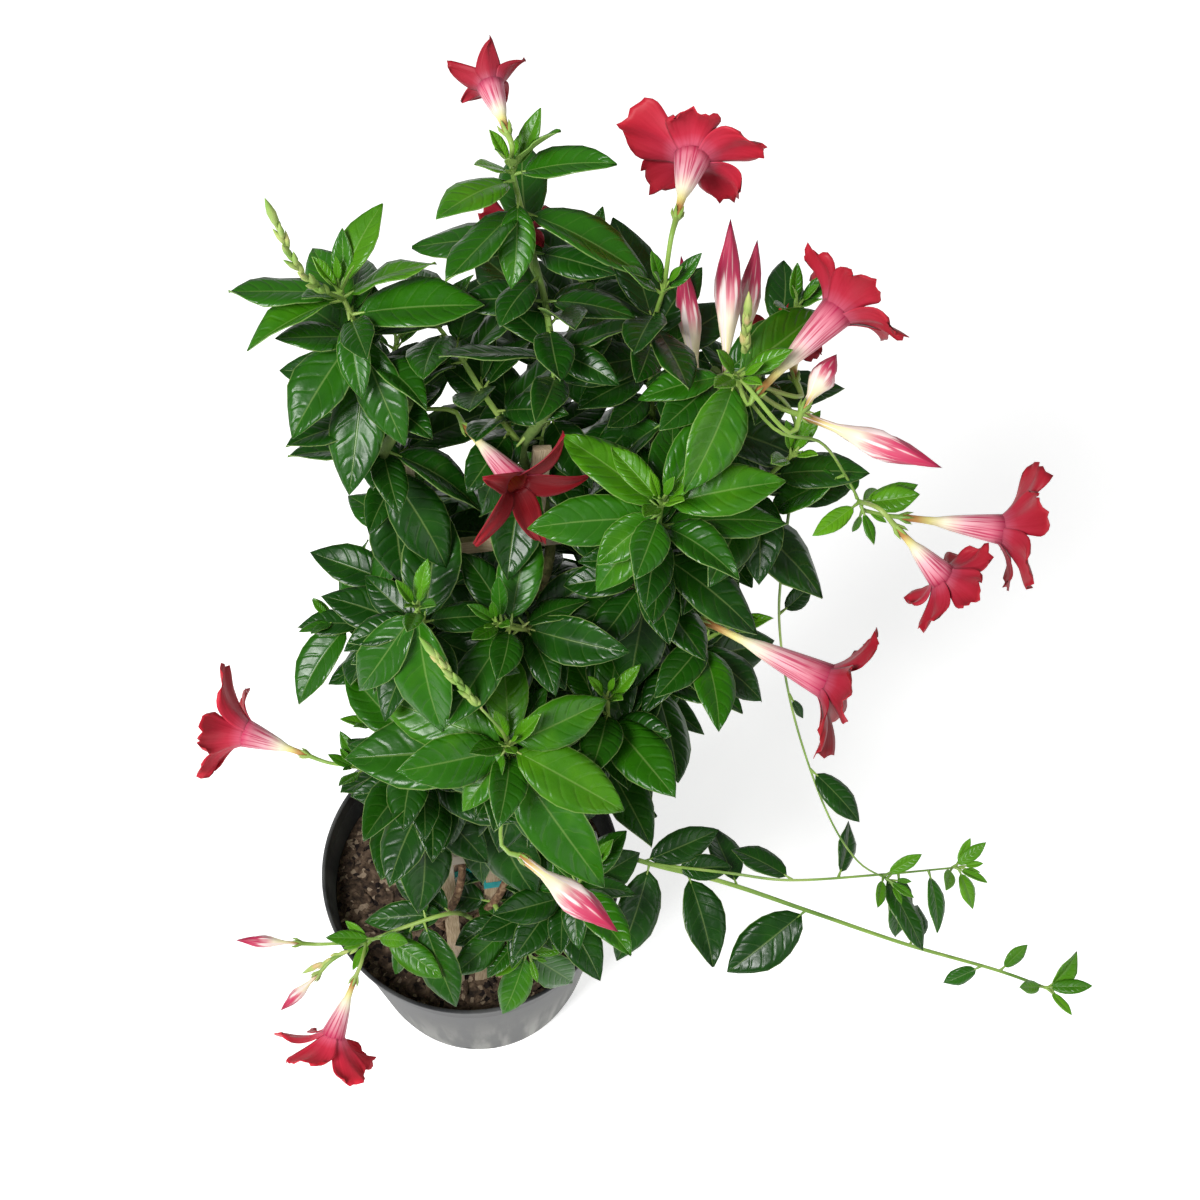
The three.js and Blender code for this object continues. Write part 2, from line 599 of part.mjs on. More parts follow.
function corollaSolid(bloom) {
  const lobeAt = (reach, angle) => new THREE.Vector2(
    bloom.mouth + reach * Math.sin(angle),
    bloom.tube + reach * Math.cos(angle),
  );
  const middle = lobeAt(bloom.lobe * 0.45, radians(bloom.flare));
  const rim = lobeAt(bloom.lobe, radians(bloom.flare + rimCurl));
  const lean = radians(bloom.flare + rimCurl / 2);
  const outline = [
    new THREE.Vector2(0, 0),
    new THREE.Vector2(2.3, 0),
    new THREE.Vector2(3, bloom.tube * 0.34),
    new THREE.Vector2(bloom.mouth, bloom.tube),
    middle,
    rim,
    new THREE.Vector2(middle.x - lobeThickness * Math.cos(lean), middle.y + lobeThickness * Math.sin(lean)),
    new THREE.Vector2(bloom.mouth - 1.9, bloom.tube + 0.6),
    new THREE.Vector2(0, bloom.tube * 0.5),
  ];
  const spokes = lobeCount * lobeSpokes;
  const shape = new THREE.LatheGeometry(outline, spokes);
  const position = shape.attributes.position;
  for (let index = 0; index < position.count; index += 1) {
    const ring = index % outline.length;
    const spoke = Math.floor(index / outline.length) % spokes;
    const lobe = Math.floor(spoke / lobeSpokes);
    const part = spoke % lobeSpokes;
    const half = bloom.lobeHalfAngle;
    const angle = radians(lobe * lobeTurn + [0, half, lobeTurn / 2, lobeTurn - half][part]);
    const nearest = part > notch ? (lobe + 1) % lobeCount : lobe;
    const change = part === notch ? 0 : scatter(bloom.number, nearest) - 0.5;
    let reach = 1;
    let lift = 0;
    if (ring === rimRing) {
      reach = spokeReach[part] * (1 + 0.24 * change);
      lift = 9 * change;
    } else if (midRings.includes(ring) && part === notch) {
      reach = 0.5;
    }
    const radius = bloom.mouth + (outline[ring].x - bloom.mouth) * reach;
    const height = bloom.tube + (outline[ring].y - bloom.tube) * reach + lift;
    const turned = angle + (ring === rimRing ? radians(rimSwirl) : 0);
    position.setXYZ(index, radius * Math.sin(turned), height, radius * Math.cos(turned));
  }
  // The inner faces of the lobes are split along the same diagonals as the outer ones
  const rows = outline.length - 1;
  for (let quad = 0; quad < spokes * rows; quad += 1) {
    if (innerRows.includes(quad % rows)) {
      const [a, b, d, c] = shape.index.array.slice(quad * 6, quad * 6 + 4);
      shape.index.array.set([a, b, c, a, c, d], quad * 6);
    }
  }
  return solidOf(standOn(shape, bloom));
}

// A closed bud: a spindle that swells above its narrow neck
function budSolid(bud) {
  const outline = [
    new THREE.Vector2(0, 0),
    new THREE.Vector2(bud.girth * 0.36, 0),
    new THREE.Vector2(bud.girth * 0.36, bud.tube * 0.22),
    new THREE.Vector2(bud.girth * 0.95, bud.tube * 0.46),
    new THREE.Vector2(bud.girth, bud.tube * 0.62),
    new THREE.Vector2(bud.girth * 0.5, bud.tube * 0.86),
    new THREE.Vector2(0, bud.tube),
  ];
  return solidOf(standOn(new THREE.LatheGeometry(outline, 8), bud));
}

function standOn(shape, flower) {
  const axis = new THREE.Vector3(...flower.axis).normalize();
  const turn = new THREE.Quaternion().setFromUnitVectors(new THREE.Vector3(0, 1, 0), axis);
  turn.multiply(new THREE.Quaternion().setFromAxisAngle(new THREE.Vector3(0, 1, 0), radians(flower.roll)));
  shape.applyQuaternion(turn);
  shape.translate(...flower.base);
  return shape;
}

// The thin stalk from a shoot to the foot of its bloom or bud
function pedicelSolid(shoot, flower) {
  const axis = new THREE.Vector3(...flower.axis).normalize();
  const base = new THREE.Vector3(...flower.base);
  const start = pointOn(shoot, shoot.length - flower.back).point;
  const bow = Math.min(16, start.distanceTo(base) * 0.45);
  const curve = smoothCurve([
    start,
    base.clone().addScaledVector(axis, -bow),
    base.clone().addScaledVector(axis, -seatGap),
  ]);
  return stemSolid(curve, pedicelRadius, shootSides, pedicelStep);
}

function box(solid) {
  return solid.boundingBox();
}

function apart(a, b) {
  return [0, 1, 2].some((axis) => a.max[axis] < b.min[axis] || b.max[axis] < a.min[axis]);
}

// Everything that stands already, with the node it belongs to
const standing = [];

function stand(node, solid) {
  standing.push({ node, solid, box: box(solid) });
}

// The most that a blade runs into what stands already: in its own node, and in others
function clashOf(node, close, wide) {
  const reach = box(wide);
  let own = 0;
  let other = 0;
  for (const piece of standing) {
    if (apart(reach, piece.box)) {
      continue;
    }
    if (piece.node === node) {
      own = Math.max(own, close.intersect(piece.solid).volume());
    } else {
      other = Math.max(other, wide.intersect(piece.solid).volume());
    }
  }
  return { own, other };
}

// Pot: a thin shell with a rolled rim, and paired drain holes round its foot
function turned(outline, segments) {
  const points = outline.map(([x, y]) => new THREE.Vector2(x, y));
  return new THREE.LatheGeometry(points, segments).rotateX(Math.PI / 2);
}

function potSolid() {
  const outline = [
    [0, 0],
    [footRadius - 2, 0],
    [footRadius, 2],
    [heelRadius, heelHeight],
    [rimRadius - 5, potHeight - rimBand - 2],
    [rimRadius - 2, potHeight - rimBand],
    [rimRadius, potHeight - 1.5],
    [rimRadius - 1.5, potHeight],
    [rimRadius - 3.5, potHeight - 1],
    [rimRadius - 2 - wall, potHeight - rimBand],
    [heelRadius - wall, heelHeight],
    [footRadius - wall, floorThickness],
    [0, floorThickness],
  ];
  let pot = solidOf(turned(outline, potSegments));
  for (let pair = 0; pair < drainPairs; pair += 1) {
    for (const offset of [-drainSpread, drainSpread]) {
      const hole = new THREE.CylinderGeometry(drainRadius, drainRadius, 10 * wall, 6).rotateZ(Math.PI / 2);
      hole.translate(footRadius - 2, 0, drainHeight);
      hole.rotateZ(radians(pair * 360 / drainPairs + drainBearing + offset));
      pot = pot.subtract(solidOf(hole));
    }
  }
  return pot;
}

// Potting mix: fills the pot, with a lumpy top
function mixSolid() {
  const slope = (rimRadius - 2 - heelRadius) / (potHeight - rimBand - heelHeight);
  const inner = (height) => heelRadius - wall + slope * (height - heelHeight) - mixSpare;
  const outline = [
    [0, floorThickness + seatGap],
    [footRadius - wall - mixSpare, floorThickness + seatGap],
    [inner(heelHeight), heelHeight],
    [inner(mixLevel), mixLevel - 6],
    [mixRings[0], mixLevel - 2],
    [mixRings[1], mixLevel],
    [mixRings[2], mixLevel + 2],
    [0, mixLevel + 3],
  ];
  const shape = turned(outline, mixSegments);
  const position = shape.attributes.position;
  for (let index = 0; index < position.count; index += 1) {
    const ring = index % outline.length;
    const spoke = Math.floor(index / outline.length) % mixSegments;
    if (outline[ring][0] > 0 && outline[ring][0] <= mixRings[0] && outline[ring][1] > heelHeight) {
      position.setZ(index, position.getZ(index) + mixLump * (scatter(spoke + 3, ring) - 0.5));
    }
  }
  return solidOf(shape);
}

const solids = new Map();

function keep(node, solid) {
  solids.set(node, solid);
  stand(node, solid);
}

keep('pot', potSolid());
let mix = mixSolid();
for (const side of Object.keys(sides)) {
  mix = mix.subtract(lathSolid(sides[side], seatGap));
  mix = mix.subtract(woodySolid(sides[side], seatGap));
}
keep('potting_mix', mix);
for (const side of Object.keys(sides)) {
  keep(`lath_${side}`, lathSolid(sides[side], 0));
  keep(`woody_stem_${side}`, woodySolid(sides[side], 0));
}
crossHeights.forEach((height, index) => keep(`cross_lath_${index + 1}`, crossSolid(height)));
keep('tie', tieSolid());

const grown = new Map();
const growth = new Map();
shoots.forEach((shoot, index) => {
  const parent = grown.get(shoot.parent);
  const start = parent
    ? pointOn(parent, parent.length - shoot.back).point
    : twinePoint(sides[shoot.stem], shoot.height);
  const curve = smoothCurve([start, ...shoot.route.map((point) => new THREE.Vector3(...point))]);
  const node = shoot.parent ?? shoot.name;
  const length = curve.getLength();
  const joints = curve.getSpacedPoints(stepsOf(curve, shootStep));
  grown.set(shoot.name, { ...shoot, node, number: index + 1, joints, length });
  const solid = stemSolid(curve, shoot.radius ?? shootRadius, shootSides, shootStep);
  growth.set(node, [...(growth.get(node) ?? []), solid]);
  stand(node, solid);
});

for (const flower of [...blooms, ...buds]) {
  const shoot = grown.get(flower.shoot);
  const stalk = pedicelSolid(shoot, flower);
  growth.get(shoot.node).push(stalk);
  stand(shoot.node, stalk);
}
blooms.forEach((bloom, index) => keep(bloom.name, corollaSolid({ ...bloom, number: index + 1 })));
buds.forEach((bud) => keep(bud.name, budSolid(bud)));

// A leaf takes the first of its places that is free, and is left off where none is
function growLeaf(shoot, index) {
  for (let attempt = 0; attempt < tries; attempt += 1) {
    const place = leafPlace(shoot, index, attempt);
    const blade = bladeSolid(place, 0);
    const clash = clashOf(shoot.node, blade, bladeSolid(place, leafClearance));
    if (clash.own < leafOverlap && clash.other === 0) {
      growth.get(shoot.node).push(blade);
      stand(shoot.node, blade);
      return;
    }
  }
}

for (const shoot of grown.values()) {
  shoot.leaves.forEach((leaf, index) => growLeaf(shoot, index));
}
for (const shoot of grown.values()) {
  for (let order = 0; order < 2 * shoot.pairs; order += 1) {
    growLeaf(shoot, shoot.leaves.length + order);
  }
}

// The foot of a shoot is cut to the round of the woody stem that it grows from
for (const [node, pieces] of growth) {
  const wood = woodySolid(sides[grown.get(node).stem], seatGap);
  solids.set(node, wasm.Manifold.union(pieces).subtract(wood));
}

const finishes = [
  [/^pot$/, 0x3a3c3d, 0.55],
  [/^potting_mix$/, 0x3b2a1f, 1],
  [/lath/, 0xa79474, 0.85],
  [/^woody/, bark, 0.85],
  [/^tie/, 0x1f9ea0, 0.5],
  [/^bloom/, crimson, 0.6],
  [/^bud/, budPink, 0.55],
  [/^shoot_(trailing|hanging)/, vineGreen, 0.5],
  [/^shoot/, green, 0.4],
];
for (const [node, solid] of solids) {
  const [, color, roughness] = finishes.find(([pattern]) => pattern.test(node));
  addPiece(node, geometryOf(solid), color, roughness);
}

export default group;
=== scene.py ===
import bisect
from math import atan2, cos, degrees, floor, hypot, pi, radians, sin, sqrt
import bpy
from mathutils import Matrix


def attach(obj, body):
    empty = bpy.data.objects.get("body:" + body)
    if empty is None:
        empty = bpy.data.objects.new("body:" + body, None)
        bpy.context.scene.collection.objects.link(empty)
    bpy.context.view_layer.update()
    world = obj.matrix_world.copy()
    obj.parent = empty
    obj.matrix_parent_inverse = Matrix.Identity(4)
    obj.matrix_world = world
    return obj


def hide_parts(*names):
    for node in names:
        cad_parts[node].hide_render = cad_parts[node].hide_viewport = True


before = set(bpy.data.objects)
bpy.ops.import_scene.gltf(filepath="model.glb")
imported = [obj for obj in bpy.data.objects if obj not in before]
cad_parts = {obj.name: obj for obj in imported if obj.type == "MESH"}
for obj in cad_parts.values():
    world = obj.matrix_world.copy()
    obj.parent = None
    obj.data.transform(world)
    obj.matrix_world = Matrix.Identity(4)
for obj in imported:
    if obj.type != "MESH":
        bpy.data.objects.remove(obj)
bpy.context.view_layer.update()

from types import SimpleNamespace

import bmesh
import bpy
from mathutils import Matrix, Quaternion, Vector, kdtree, noise

# Nursery pot. A thin-walled round pot of black polypropylene, moulded in one piece with a
# rolled rim and pairs of drain holes round its foot. Dust and dried drips dull its outside, and
# the lower wall is lighter in vertical streaks, partly dust and partly a painted reflection of the floor.
MM = 0.001
pot_height = 230
rim_radius = 125
foot_radius = 97
heel_radius = 100
heel_height = 22
pot_wall = 2.4
floor_thickness = 3
rim_band = 16
drain_radius = 4.5
drain_height = 9
drain_bearing = -96
drain_spread = 6
pot_steps = 144
band_level = pot_height - rim_band


class Wire:
    """An output of a shader node, so that sums of shader values read as plain sums."""

    def __init__(self, socket):
        self.socket = socket
        self.tree = socket.id_data

    def maths(self, operation, other=0.0):
        return put(self.tree, "Math", {0: self, 1: other}, operation=operation)

    def __add__(self, other):
        return self.maths("ADD", other)

    def __sub__(self, other):
        return self.maths("SUBTRACT", other)

    def __mul__(self, other):
        return self.maths("MULTIPLY", other)

    def __abs__(self):
        return self.maths("ABSOLUTE")


def put(tree, kind, inputs=None, output=0, **settings):
    node = tree.nodes.new("ShaderNode" + kind)
    for name, value in settings.items():
        setattr(node, name, value)
    for socket, value in (inputs or {}).items():
        feed(node.inputs[socket], value)
    return Wire(node.outputs[output])


def feed(socket, value):
    if isinstance(value, Wire):
        value.tree.links.new(value.socket, socket)
    else:
        socket.default_value = (*value, 1.0) if socket.type == "RGBA" else value


def between(value, low, high):
    return put(value.tree, "MapRange", {0: value, 1: low, 2: high}, interpolation_type="SMOOTHSTEP")


def mixed(share, under, over, kind="MIX"):
    tree = (share if isinstance(share, Wire) else under).tree
    return put(tree, "Mix", {0: share, 6: under, 7: over}, 2, data_type="RGBA", blend_type=kind)


def shades(value, stops):
    node = value.tree.nodes.new("ShaderNodeValToRGB")
    feed(node.inputs[0], value)
    while len(node.color_ramp.elements) < len(stops):
        node.color_ramp.elements.new(1.0)
    for element, (place, tint) in zip(node.color_ramp.elements, stops):
        element.position = place
        element.color = (*tint, 1.0)
    return Wire(node.outputs[0])


def speckle(place, scale, detail, distortion=0.0):
    inputs = {"Vector": place, "Scale": scale, "Detail": detail, "Distortion": distortion}
    return put(place.tree, "TexNoise", inputs)


def stretched(place, *scale):
    return put(place.tree, "Mapping", {"Vector": place, "Scale": scale})


def part_of(place, axis):
    return put(place.tree, "SeparateXYZ", {0: place}, axis)


def new_finish(name, roughness, specular):
    finish = bpy.data.materials.new(name)
    finish.use_nodes = True
    skin = finish.node_tree.nodes["Principled BSDF"].inputs
    skin["Roughness"].default_value = roughness
    skin["Specular IOR Level"].default_value = specular
    return finish, skin, put(finish.node_tree, "TexCoord", output="Object")


def raise_grain(skin, height, strength, distance):
    inputs = {"Height": height, "Strength": strength, "Distance": distance}
    feed(skin["Normal"], put(height.tree, "Bump", inputs))


def new_object(name, data):
    thing = bpy.data.objects.new(name, data)
    bpy.context.scene.collection.objects.link(thing)
    return thing


def mesh_of(shape, name):
    mesh = bpy.data.meshes.new(name)
    shape.to_mesh(mesh)
    shape.free()
    return mesh


def settle(form, name, finishes, nodes=(), crease=180):
    mesh = mesh_of(form, name) if isinstance(form, bmesh.types.BMesh) else form
    for finish in finishes:
        mesh.materials.append(finish)
    mesh.shade_smooth()
    mesh.set_sharp_from_angle(angle=radians(crease))
    piece = new_object(name, mesh)
    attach(piece, "root")
    if nodes:
        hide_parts(*nodes)
    return piece


def turned_shape(profile, steps):
    shape = bmesh.new()
    points = [shape.verts.new((x * MM, 0, z * MM)) for x, z in profile]
    runs = [shape.edges.new(pair) for pair in zip(points, points[1:])]
    bmesh.ops.spin(shape, geom=points + runs, cent=(0, 0, 0), axis=(0, 0, 1),
                   angle=2 * pi, steps=steps, use_merge=True)
    bmesh.ops.remove_doubles(shape, verts=shape.verts, dist=0.01 * MM)
    bmesh.ops.recalc_face_normals(shape, faces=shape.faces)
    return shape


def evaluated_mesh(thing):
    bpy.context.view_layer.update()
    graph = bpy.context.evaluated_depsgraph_get()
    mesh = bpy.data.meshes.new_from_object(thing.evaluated_get(graph))
    bpy.data.objects.remove(thing)
    return mesh


wall_profile = [
    (foot_radius - 6, 0), (foot_radius - 2, 0.4), (foot_radius - 0.4, 1.6), (foot_radius, 3),
    (heel_radius, heel_height), (rim_radius - 5, band_level - 2), (rim_radius - 4.6, band_level - 0.8),
    (rim_radius - 2, band_level),
]
rim_profile = [(-1, 6), (0, 2.4), (-0.3, 0.8), (-1.2, 0), (-2.4, 0.3), (-3.2, 1.4), (-3.4, 6)]
pot_profile = [
    (0, 0), *wall_profile, *[(rim_radius + beside, pot_height - below) for beside, below in rim_profile],
    (rim_radius - 2 - pot_wall, band_level), (heel_radius - pot_wall, heel_height),
    (foot_radius - pot_wall, floor_thickness), (0, floor_thickness),
]
pot_shell = new_object("pot_shell", mesh_of(turned_shape(pot_profile, pot_steps), "pot_shell"))
drill_shape = bmesh.new()
for pair in range(4):
    for offset in (-drain_spread, drain_spread):
        turn = Matrix.Rotation(radians(pair * 90 + drain_bearing + offset), 4, "Z")
        place = turn @ Matrix.Translation(((foot_radius - 2) * MM, 0, drain_height * MM))
        bmesh.ops.create_cone(drill_shape, cap_ends=True, segments=20, radius1=drain_radius * MM,
                              radius2=drain_radius * MM, depth=10 * pot_wall * MM,
                              matrix=place @ Matrix.Rotation(pi / 2, 4, "Y"))
drill = new_object("drill", mesh_of(drill_shape, "drill"))
cut = pot_shell.modifiers.new("drain_holes", "BOOLEAN")
cut.operation = "DIFFERENCE"
cut.object = drill
drilled = evaluated_mesh(pot_shell)
bpy.data.objects.remove(drill)

black_plastic, skin, place = new_finish("black_plastic", 0.5, 0.08)
drips = stretched(place, 1.0, 1.0, 0.12)
streaks = between(speckle(stretched(place, 1.0, 1.0, 0.03), 60, 4), 0.4, 0.6)
dust_and_sheen = between(speckle(drips, 30, 8), 0.36, 0.7) * between(speckle(place, 7, 3), 0.3, 0.75) * 0.5
# Lower wall lighter in vertical streaks: part dust, part painted sheen standing for the floor's reflection.
dust_and_sheen += between(part_of(place, "Z"), 0.215, 0.03) * (streaks * 0.7 + 0.12)
mottle = mixed(speckle(place, 220, 3), (0.018, 0.019, 0.02), (0.045, 0.047, 0.05))
feed(skin["Base Color"], mixed(dust_and_sheen * 0.8, mottle, (0.34, 0.34, 0.32)))
feed(skin["Roughness"], dust_and_sheen * 0.35 + 0.42)
raise_grain(skin, speckle(place, 700, 2), 0.12, 0.0004)
settle(drilled, "nursery_pot", [black_plastic], ["pot"], 30)

# Potting mix. Composted bark and fibre, poured in loose and watered down, so that it stands a
# little higher in the middle; chips of bark of every size lie on top.
mix_level = 193
mix_spare = 1.3
seat_gap = 0.3
mix_rings = 34
mix_steps = 120
chip_count = 1500


def scatter(a, b):
    value = sin(a * 12.9898 + b * 78.233) * 43758.5453
    return value - floor(value)


def mix_top(x, y):
    reach = hypot(x, y)
    crown = 3.0 - 5.0 * min(1.0, reach / 100) ** 2 - 4.0 * max(0.0, reach - 100) / 18
    coarse = noise.noise(Vector((x, y, 0)) * 0.03)
    fine = noise.noise(Vector((x, y, 40)) * 0.12)
    return mix_level + crown + 3.4 * coarse + 1.6 * fine


mix_side = heel_radius - pot_wall - mix_spare
mix_slope = (rim_radius - 2 - heel_radius) / (band_level - heel_height)
mix_edge = mix_side + mix_slope * (mix_level - heel_height)
mix_foot = floor_thickness + seat_gap
mix_profile = [(0, mix_foot), (foot_radius - pot_wall - mix_spare, mix_foot),
               (mix_side, heel_height), (mix_edge, mix_level - 6)]
mix_profile += [(mix_edge * (1 - ring / mix_rings), mix_level) for ring in range(1, mix_rings + 1)]
mix_shape = turned_shape(mix_profile, mix_steps)
for vert in mix_shape.verts:
    if vert.co.z > (mix_level - 3) * MM:
        vert.co.z = mix_top(vert.co.x / MM, vert.co.y / MM) * MM
for number in range(chip_count):
    size = 1.0 + 3.6 * scatter(number, 3) ** 4
    half_length = size * (1.2 + 1.6 * scatter(number, 6))
    reach = min((mix_edge - 2) * sqrt(scatter(number, 1)), mix_edge - 0.5 - 1.1 * half_length)
    turn = 2 * pi * scatter(number, 2)
    x, y = reach * cos(turn), reach * sin(turn)
    spot = Matrix.Translation(Vector((x, y, mix_top(x, y) + 0.25 * size)) * MM)
    lie = Matrix.Rotation(6.3 * scatter(number, 4), 4, "Z")
    lie @= Matrix.Rotation(scatter(number, 5) - 0.5, 4, "X")
    half_width = size * (0.6 + 0.5 * scatter(number, 7))
    bulk = Matrix.Diagonal((half_length, half_width, size * 0.5, 1 / MM)) * MM
    made = bmesh.ops.create_icosphere(mix_shape, subdivisions=1, radius=1.0, matrix=spot @ lie @ bulk)
    for corner, vert in enumerate(made["verts"]):
        vert.co.z += 0.22 * size * MM * (scatter(number, 8 + corner) - 0.5)

bark_mix, skin, place = new_finish("bark_mix", 0.9, 0.25)
bits = put(place.tree, "TexVoronoi", {"Vector": place, "Scale": 260.0}, "Color")
bits = put(place.tree, "SeparateColor", {0: bits})
soil = shades(speckle(place, 160, 8),
              [(0.3, (0.012, 0.008, 0.006)), (0.5, (0.06, 0.038, 0.024)), (0.7, (0.14, 0.095, 0.062))])
soil = mixed(between(bits, 0.86, 0.95), soil, (0.24, 0.18, 0.125))
soil = mixed(between(bits, 0.16, 0.1), soil, (0.01, 0.006, 0.005))
feed(skin["Base Color"], soil)
raise_grain(skin, speckle(place, 420, 6), 0.8, 0.002)
settle(mix_shape, "bark_mix_and_chips", [bark_mix], ["potting_mix"], 50)

# Fan trellis. Three sawn softwood laths stand in the mix and spread upwards, held by cross laths
# on their front. They are bare wood, gone grey where the weather reaches them.
lath_width = 11
lath_thickness = 4.5
lath_foot = Vector((-10, -99, 125))
lath_top = Vector((74, 53, 850))
foot_spacing = 13
top_spacing = 85
cross_heights = [385, 555, 725]
cross_overhang = 6
lath_end = 795
sides = {"left": -1, "middle": 0, "right": 1}
lath_slope = (lath_top - lath_foot) / (lath_top.z - lath_foot.z)
level_across = Vector((1, 0, 0))
slope_back = lath_slope.normalized().cross(level_across).normalized()
slope_up = level_across.cross(slope_back)


def lath_point(side, height):
    rise = height - lath_foot.z
    spacing = foot_spacing + (top_spacing - foot_spacing) * rise / (lath_top.z - lath_foot.z)
    return lath_foot + lath_slope * rise + Vector((side * spacing, 0, 0))


def lath_piece(name, middle, across, through, along, length):
    size = (lath_width, lath_thickness, length)
    shape = bmesh.new()
    bmesh.ops.create_cube(shape, size=1.0, matrix=Matrix.Diagonal((*size, 1)))
    cuts = [edge for edge in shape.edges if abs(edge.verts[0].co.z - edge.verts[1].co.z) > length / 2]
    bmesh.ops.subdivide_edges(shape, edges=cuts, cuts=11, use_grid_fill=True)
    for vert in shape.verts:
        wave = noise.noise(Vector((length, 3, vert.co.z * 0.02)))
        vert.co.x += 0.25 * wave
        vert.co.y += 0.12 * wave
    edges = [edge for edge in shape.edges if edge.calc_face_angle(0) > 1]
    bmesh.ops.bevel(shape, geom=edges, offset=0.5, affect="EDGES", segments=2, profile=0.5, material=-1)
    layer = shape.loops.layers.uv.new("grain")
    for face in shape.faces:
        for loop in face.loops:
            loop[layer].uv = ((loop.vert.co.x + loop.vert.co.y) / 20, loop.vert.co.z / 20)
    turn = Matrix((across, through, along)).transposed().to_4x4()
    bmesh.ops.transform(shape, matrix=Matrix.Diagonal((MM, MM, MM, 1)) @ Matrix.Translation(middle) @ turn,
                        verts=shape.verts)
    bmesh.ops.recalc_face_normals(shape, faces=shape.faces)
    settle(shape, f"sawn_{name}", [lath_wood], [name], 30)


lath_wood, skin, place = new_finish("lath_wood", 0.75, 0.3)
sawn = put(place.tree, "UVMap", uv_map="grain")
fibre = speckle(stretched(sawn, 14.0, 0.7, 1.0), 3.0, 8, 0.6)
wood = shades(fibre, [(0.3, (0.23, 0.15, 0.085)), (0.5, (0.46, 0.34, 0.21)), (0.7, (0.62, 0.5, 0.35))])
weather = between(speckle(place, 9, 3), 0.4, 0.62)
feed(skin["Base Color"], mixed(weather * 0.7, wood, (0.36, 0.34, 0.3)))
raise_grain(skin, fibre, 0.5, 0.0006)

for name, side in sides.items():
    low, high = lath_point(side, lath_foot.z), lath_point(side, lath_end)
    along = (high - low).normalized()
    across = (level_across - along * along.x).normalized()
    lath_piece(f"lath_{name}", (low + high) / 2, across, along.cross(across), along, (high - low).length)
forward = slope_back * (-lath_thickness - seat_gap)
for number, height in enumerate(cross_heights, 1):
    left = lath_point(-1, height) + forward - level_across * cross_overhang
    right = lath_point(1, height) + forward + level_across * cross_overhang
    lath_piece(f"cross_lath_{number}", (left + right) / 2, slope_up, slope_back, level_across,
               (right - left).length)

# Tie. A strip of blue-green vinyl garden tape, wrapped once round the middle lath with its loose
# end sticking out to the left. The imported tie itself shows, in its own finish.
tie_tape, skin, place = new_finish("tie_tape", 0.42, 0.5)
creases = speckle(place, 150, 3)
feed(skin["Base Color"], mixed(creases, (0.01, 0.24, 0.27), (0.04, 0.5, 0.5)))
raise_grain(skin, creases, 0.4, 0.001)
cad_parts["tie"].data.materials.clear()
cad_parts["tie"].data.materials.append(tie_tape)

# Woody stems. The old stems of the vine, brown and corky, which come out of the mix together and
# twine up one lath each.
twine_radius = 12
twine_pitch = 170
twine_front = 500
woody_radius = 3.2
woody_top = 853
woody_step = 7
middle_start = 250
outer_start = 300
woody_foot_spacing = 16
curve_samples = 200


def on_curve(points, share):
    place = (len(points) - 1) * share
    start = min(int(place), len(points) - 2)
    rest = place - start
    here, there = points[start], points[start + 1]
    before = points[start - 1] if start > 0 else here * 2 - there
    after = points[start + 2] if start + 2 < len(points) else there * 2 - here
    leave, arrive = (there - before) * 0.5, (after - here) * 0.5
    return (here + leave * rest + (there * 3 - here * 3 - leave * 2 - arrive) * rest ** 2
            + (here * 2 - there * 2 + leave + arrive) * rest ** 3)


def curve_marks(points):
    marks = [on_curve(points, number / curve_samples) for number in range(curve_samples + 1)]
    reached = [0.0]
    for first, second in zip(marks, marks[1:]):
        reached.append(reached[-1] + (second - first).length)
    return reached


def spaced(points, steps):
    reached = curve_marks(points)
    result = []
    for step in range(steps + 1):
        target = reached[-1] * step / steps
        mark = min(bisect.bisect_right(reached, target) - 1, curve_samples - 1)
        rest = (target - reached[mark]) / (reached[mark + 1] - reached[mark])
        result.append(on_curve(points, (mark + rest) / curve_samples))
    return result


def steps_of(length, step):
    return max(2, int(length / step + 0.5))


def twine_point(side, height):
    turn = 2 * pi * (height - twine_front) / twine_pitch - pi / 2
    return lath_point(side, height) + Vector((cos(turn), sin(turn), 0)) * twine_radius


def woody_route(side):
    aside = side * woody_foot_spacing
    points = [Vector((aside - 8, -42, 150)), Vector((aside - 6, -46, 200))]
    height = outer_start if side else middle_start
    while height <= woody_top:
        points.append(twine_point(side, height))
        height += twine_pitch / 8
    return points


def rods(runs, roundness=1):
    bundle = bpy.data.curves.new("rods", "CURVE")
    bundle.dimensions = "3D"
    bundle.bevel_depth = MM
    bundle.bevel_resolution = roundness
    bundle.use_fill_caps = True
    for points, radii in runs:
        spline = bundle.splines.new("POLY")
        spline.points.add(len(points) - 1)
        for mark, point, radius in zip(spline.points, points, radii):
            mark.co = (*(point * MM), 1.0)
            mark.radius = radius
    return evaluated_mesh(new_object("rods", bundle))


vine_bark, skin, place = new_finish("vine_bark", 0.82, 0.25)
cork = speckle(place, 240, 8, 0.8)
bark = shades(cork, [(0.3, (0.06, 0.03, 0.018)), (0.5, (0.17, 0.095, 0.052)), (0.72, (0.34, 0.23, 0.14))])
still_green = mixed(cork, (0.05, 0.11, 0.02), (0.14, 0.2, 0.05))
feed(skin["Base Color"], mixed(between(part_of(place, "Z"), 0.64, 0.76), bark, still_green))
raise_grain(skin, cork, 0.8, 0.0012)

for name, side in sides.items():
    route = woody_route(side)
    points = spaced(route, steps_of(curve_marks(route)[-1], woody_step))
    radii = [woody_radius * (1 + 0.14 * noise.noise(point * 0.05)) for point in points]
    settle(rods([(points, radii)], 3), f"old_stem_{name}", [vine_bark],
           [f"woody_stem_{name}"], 60)

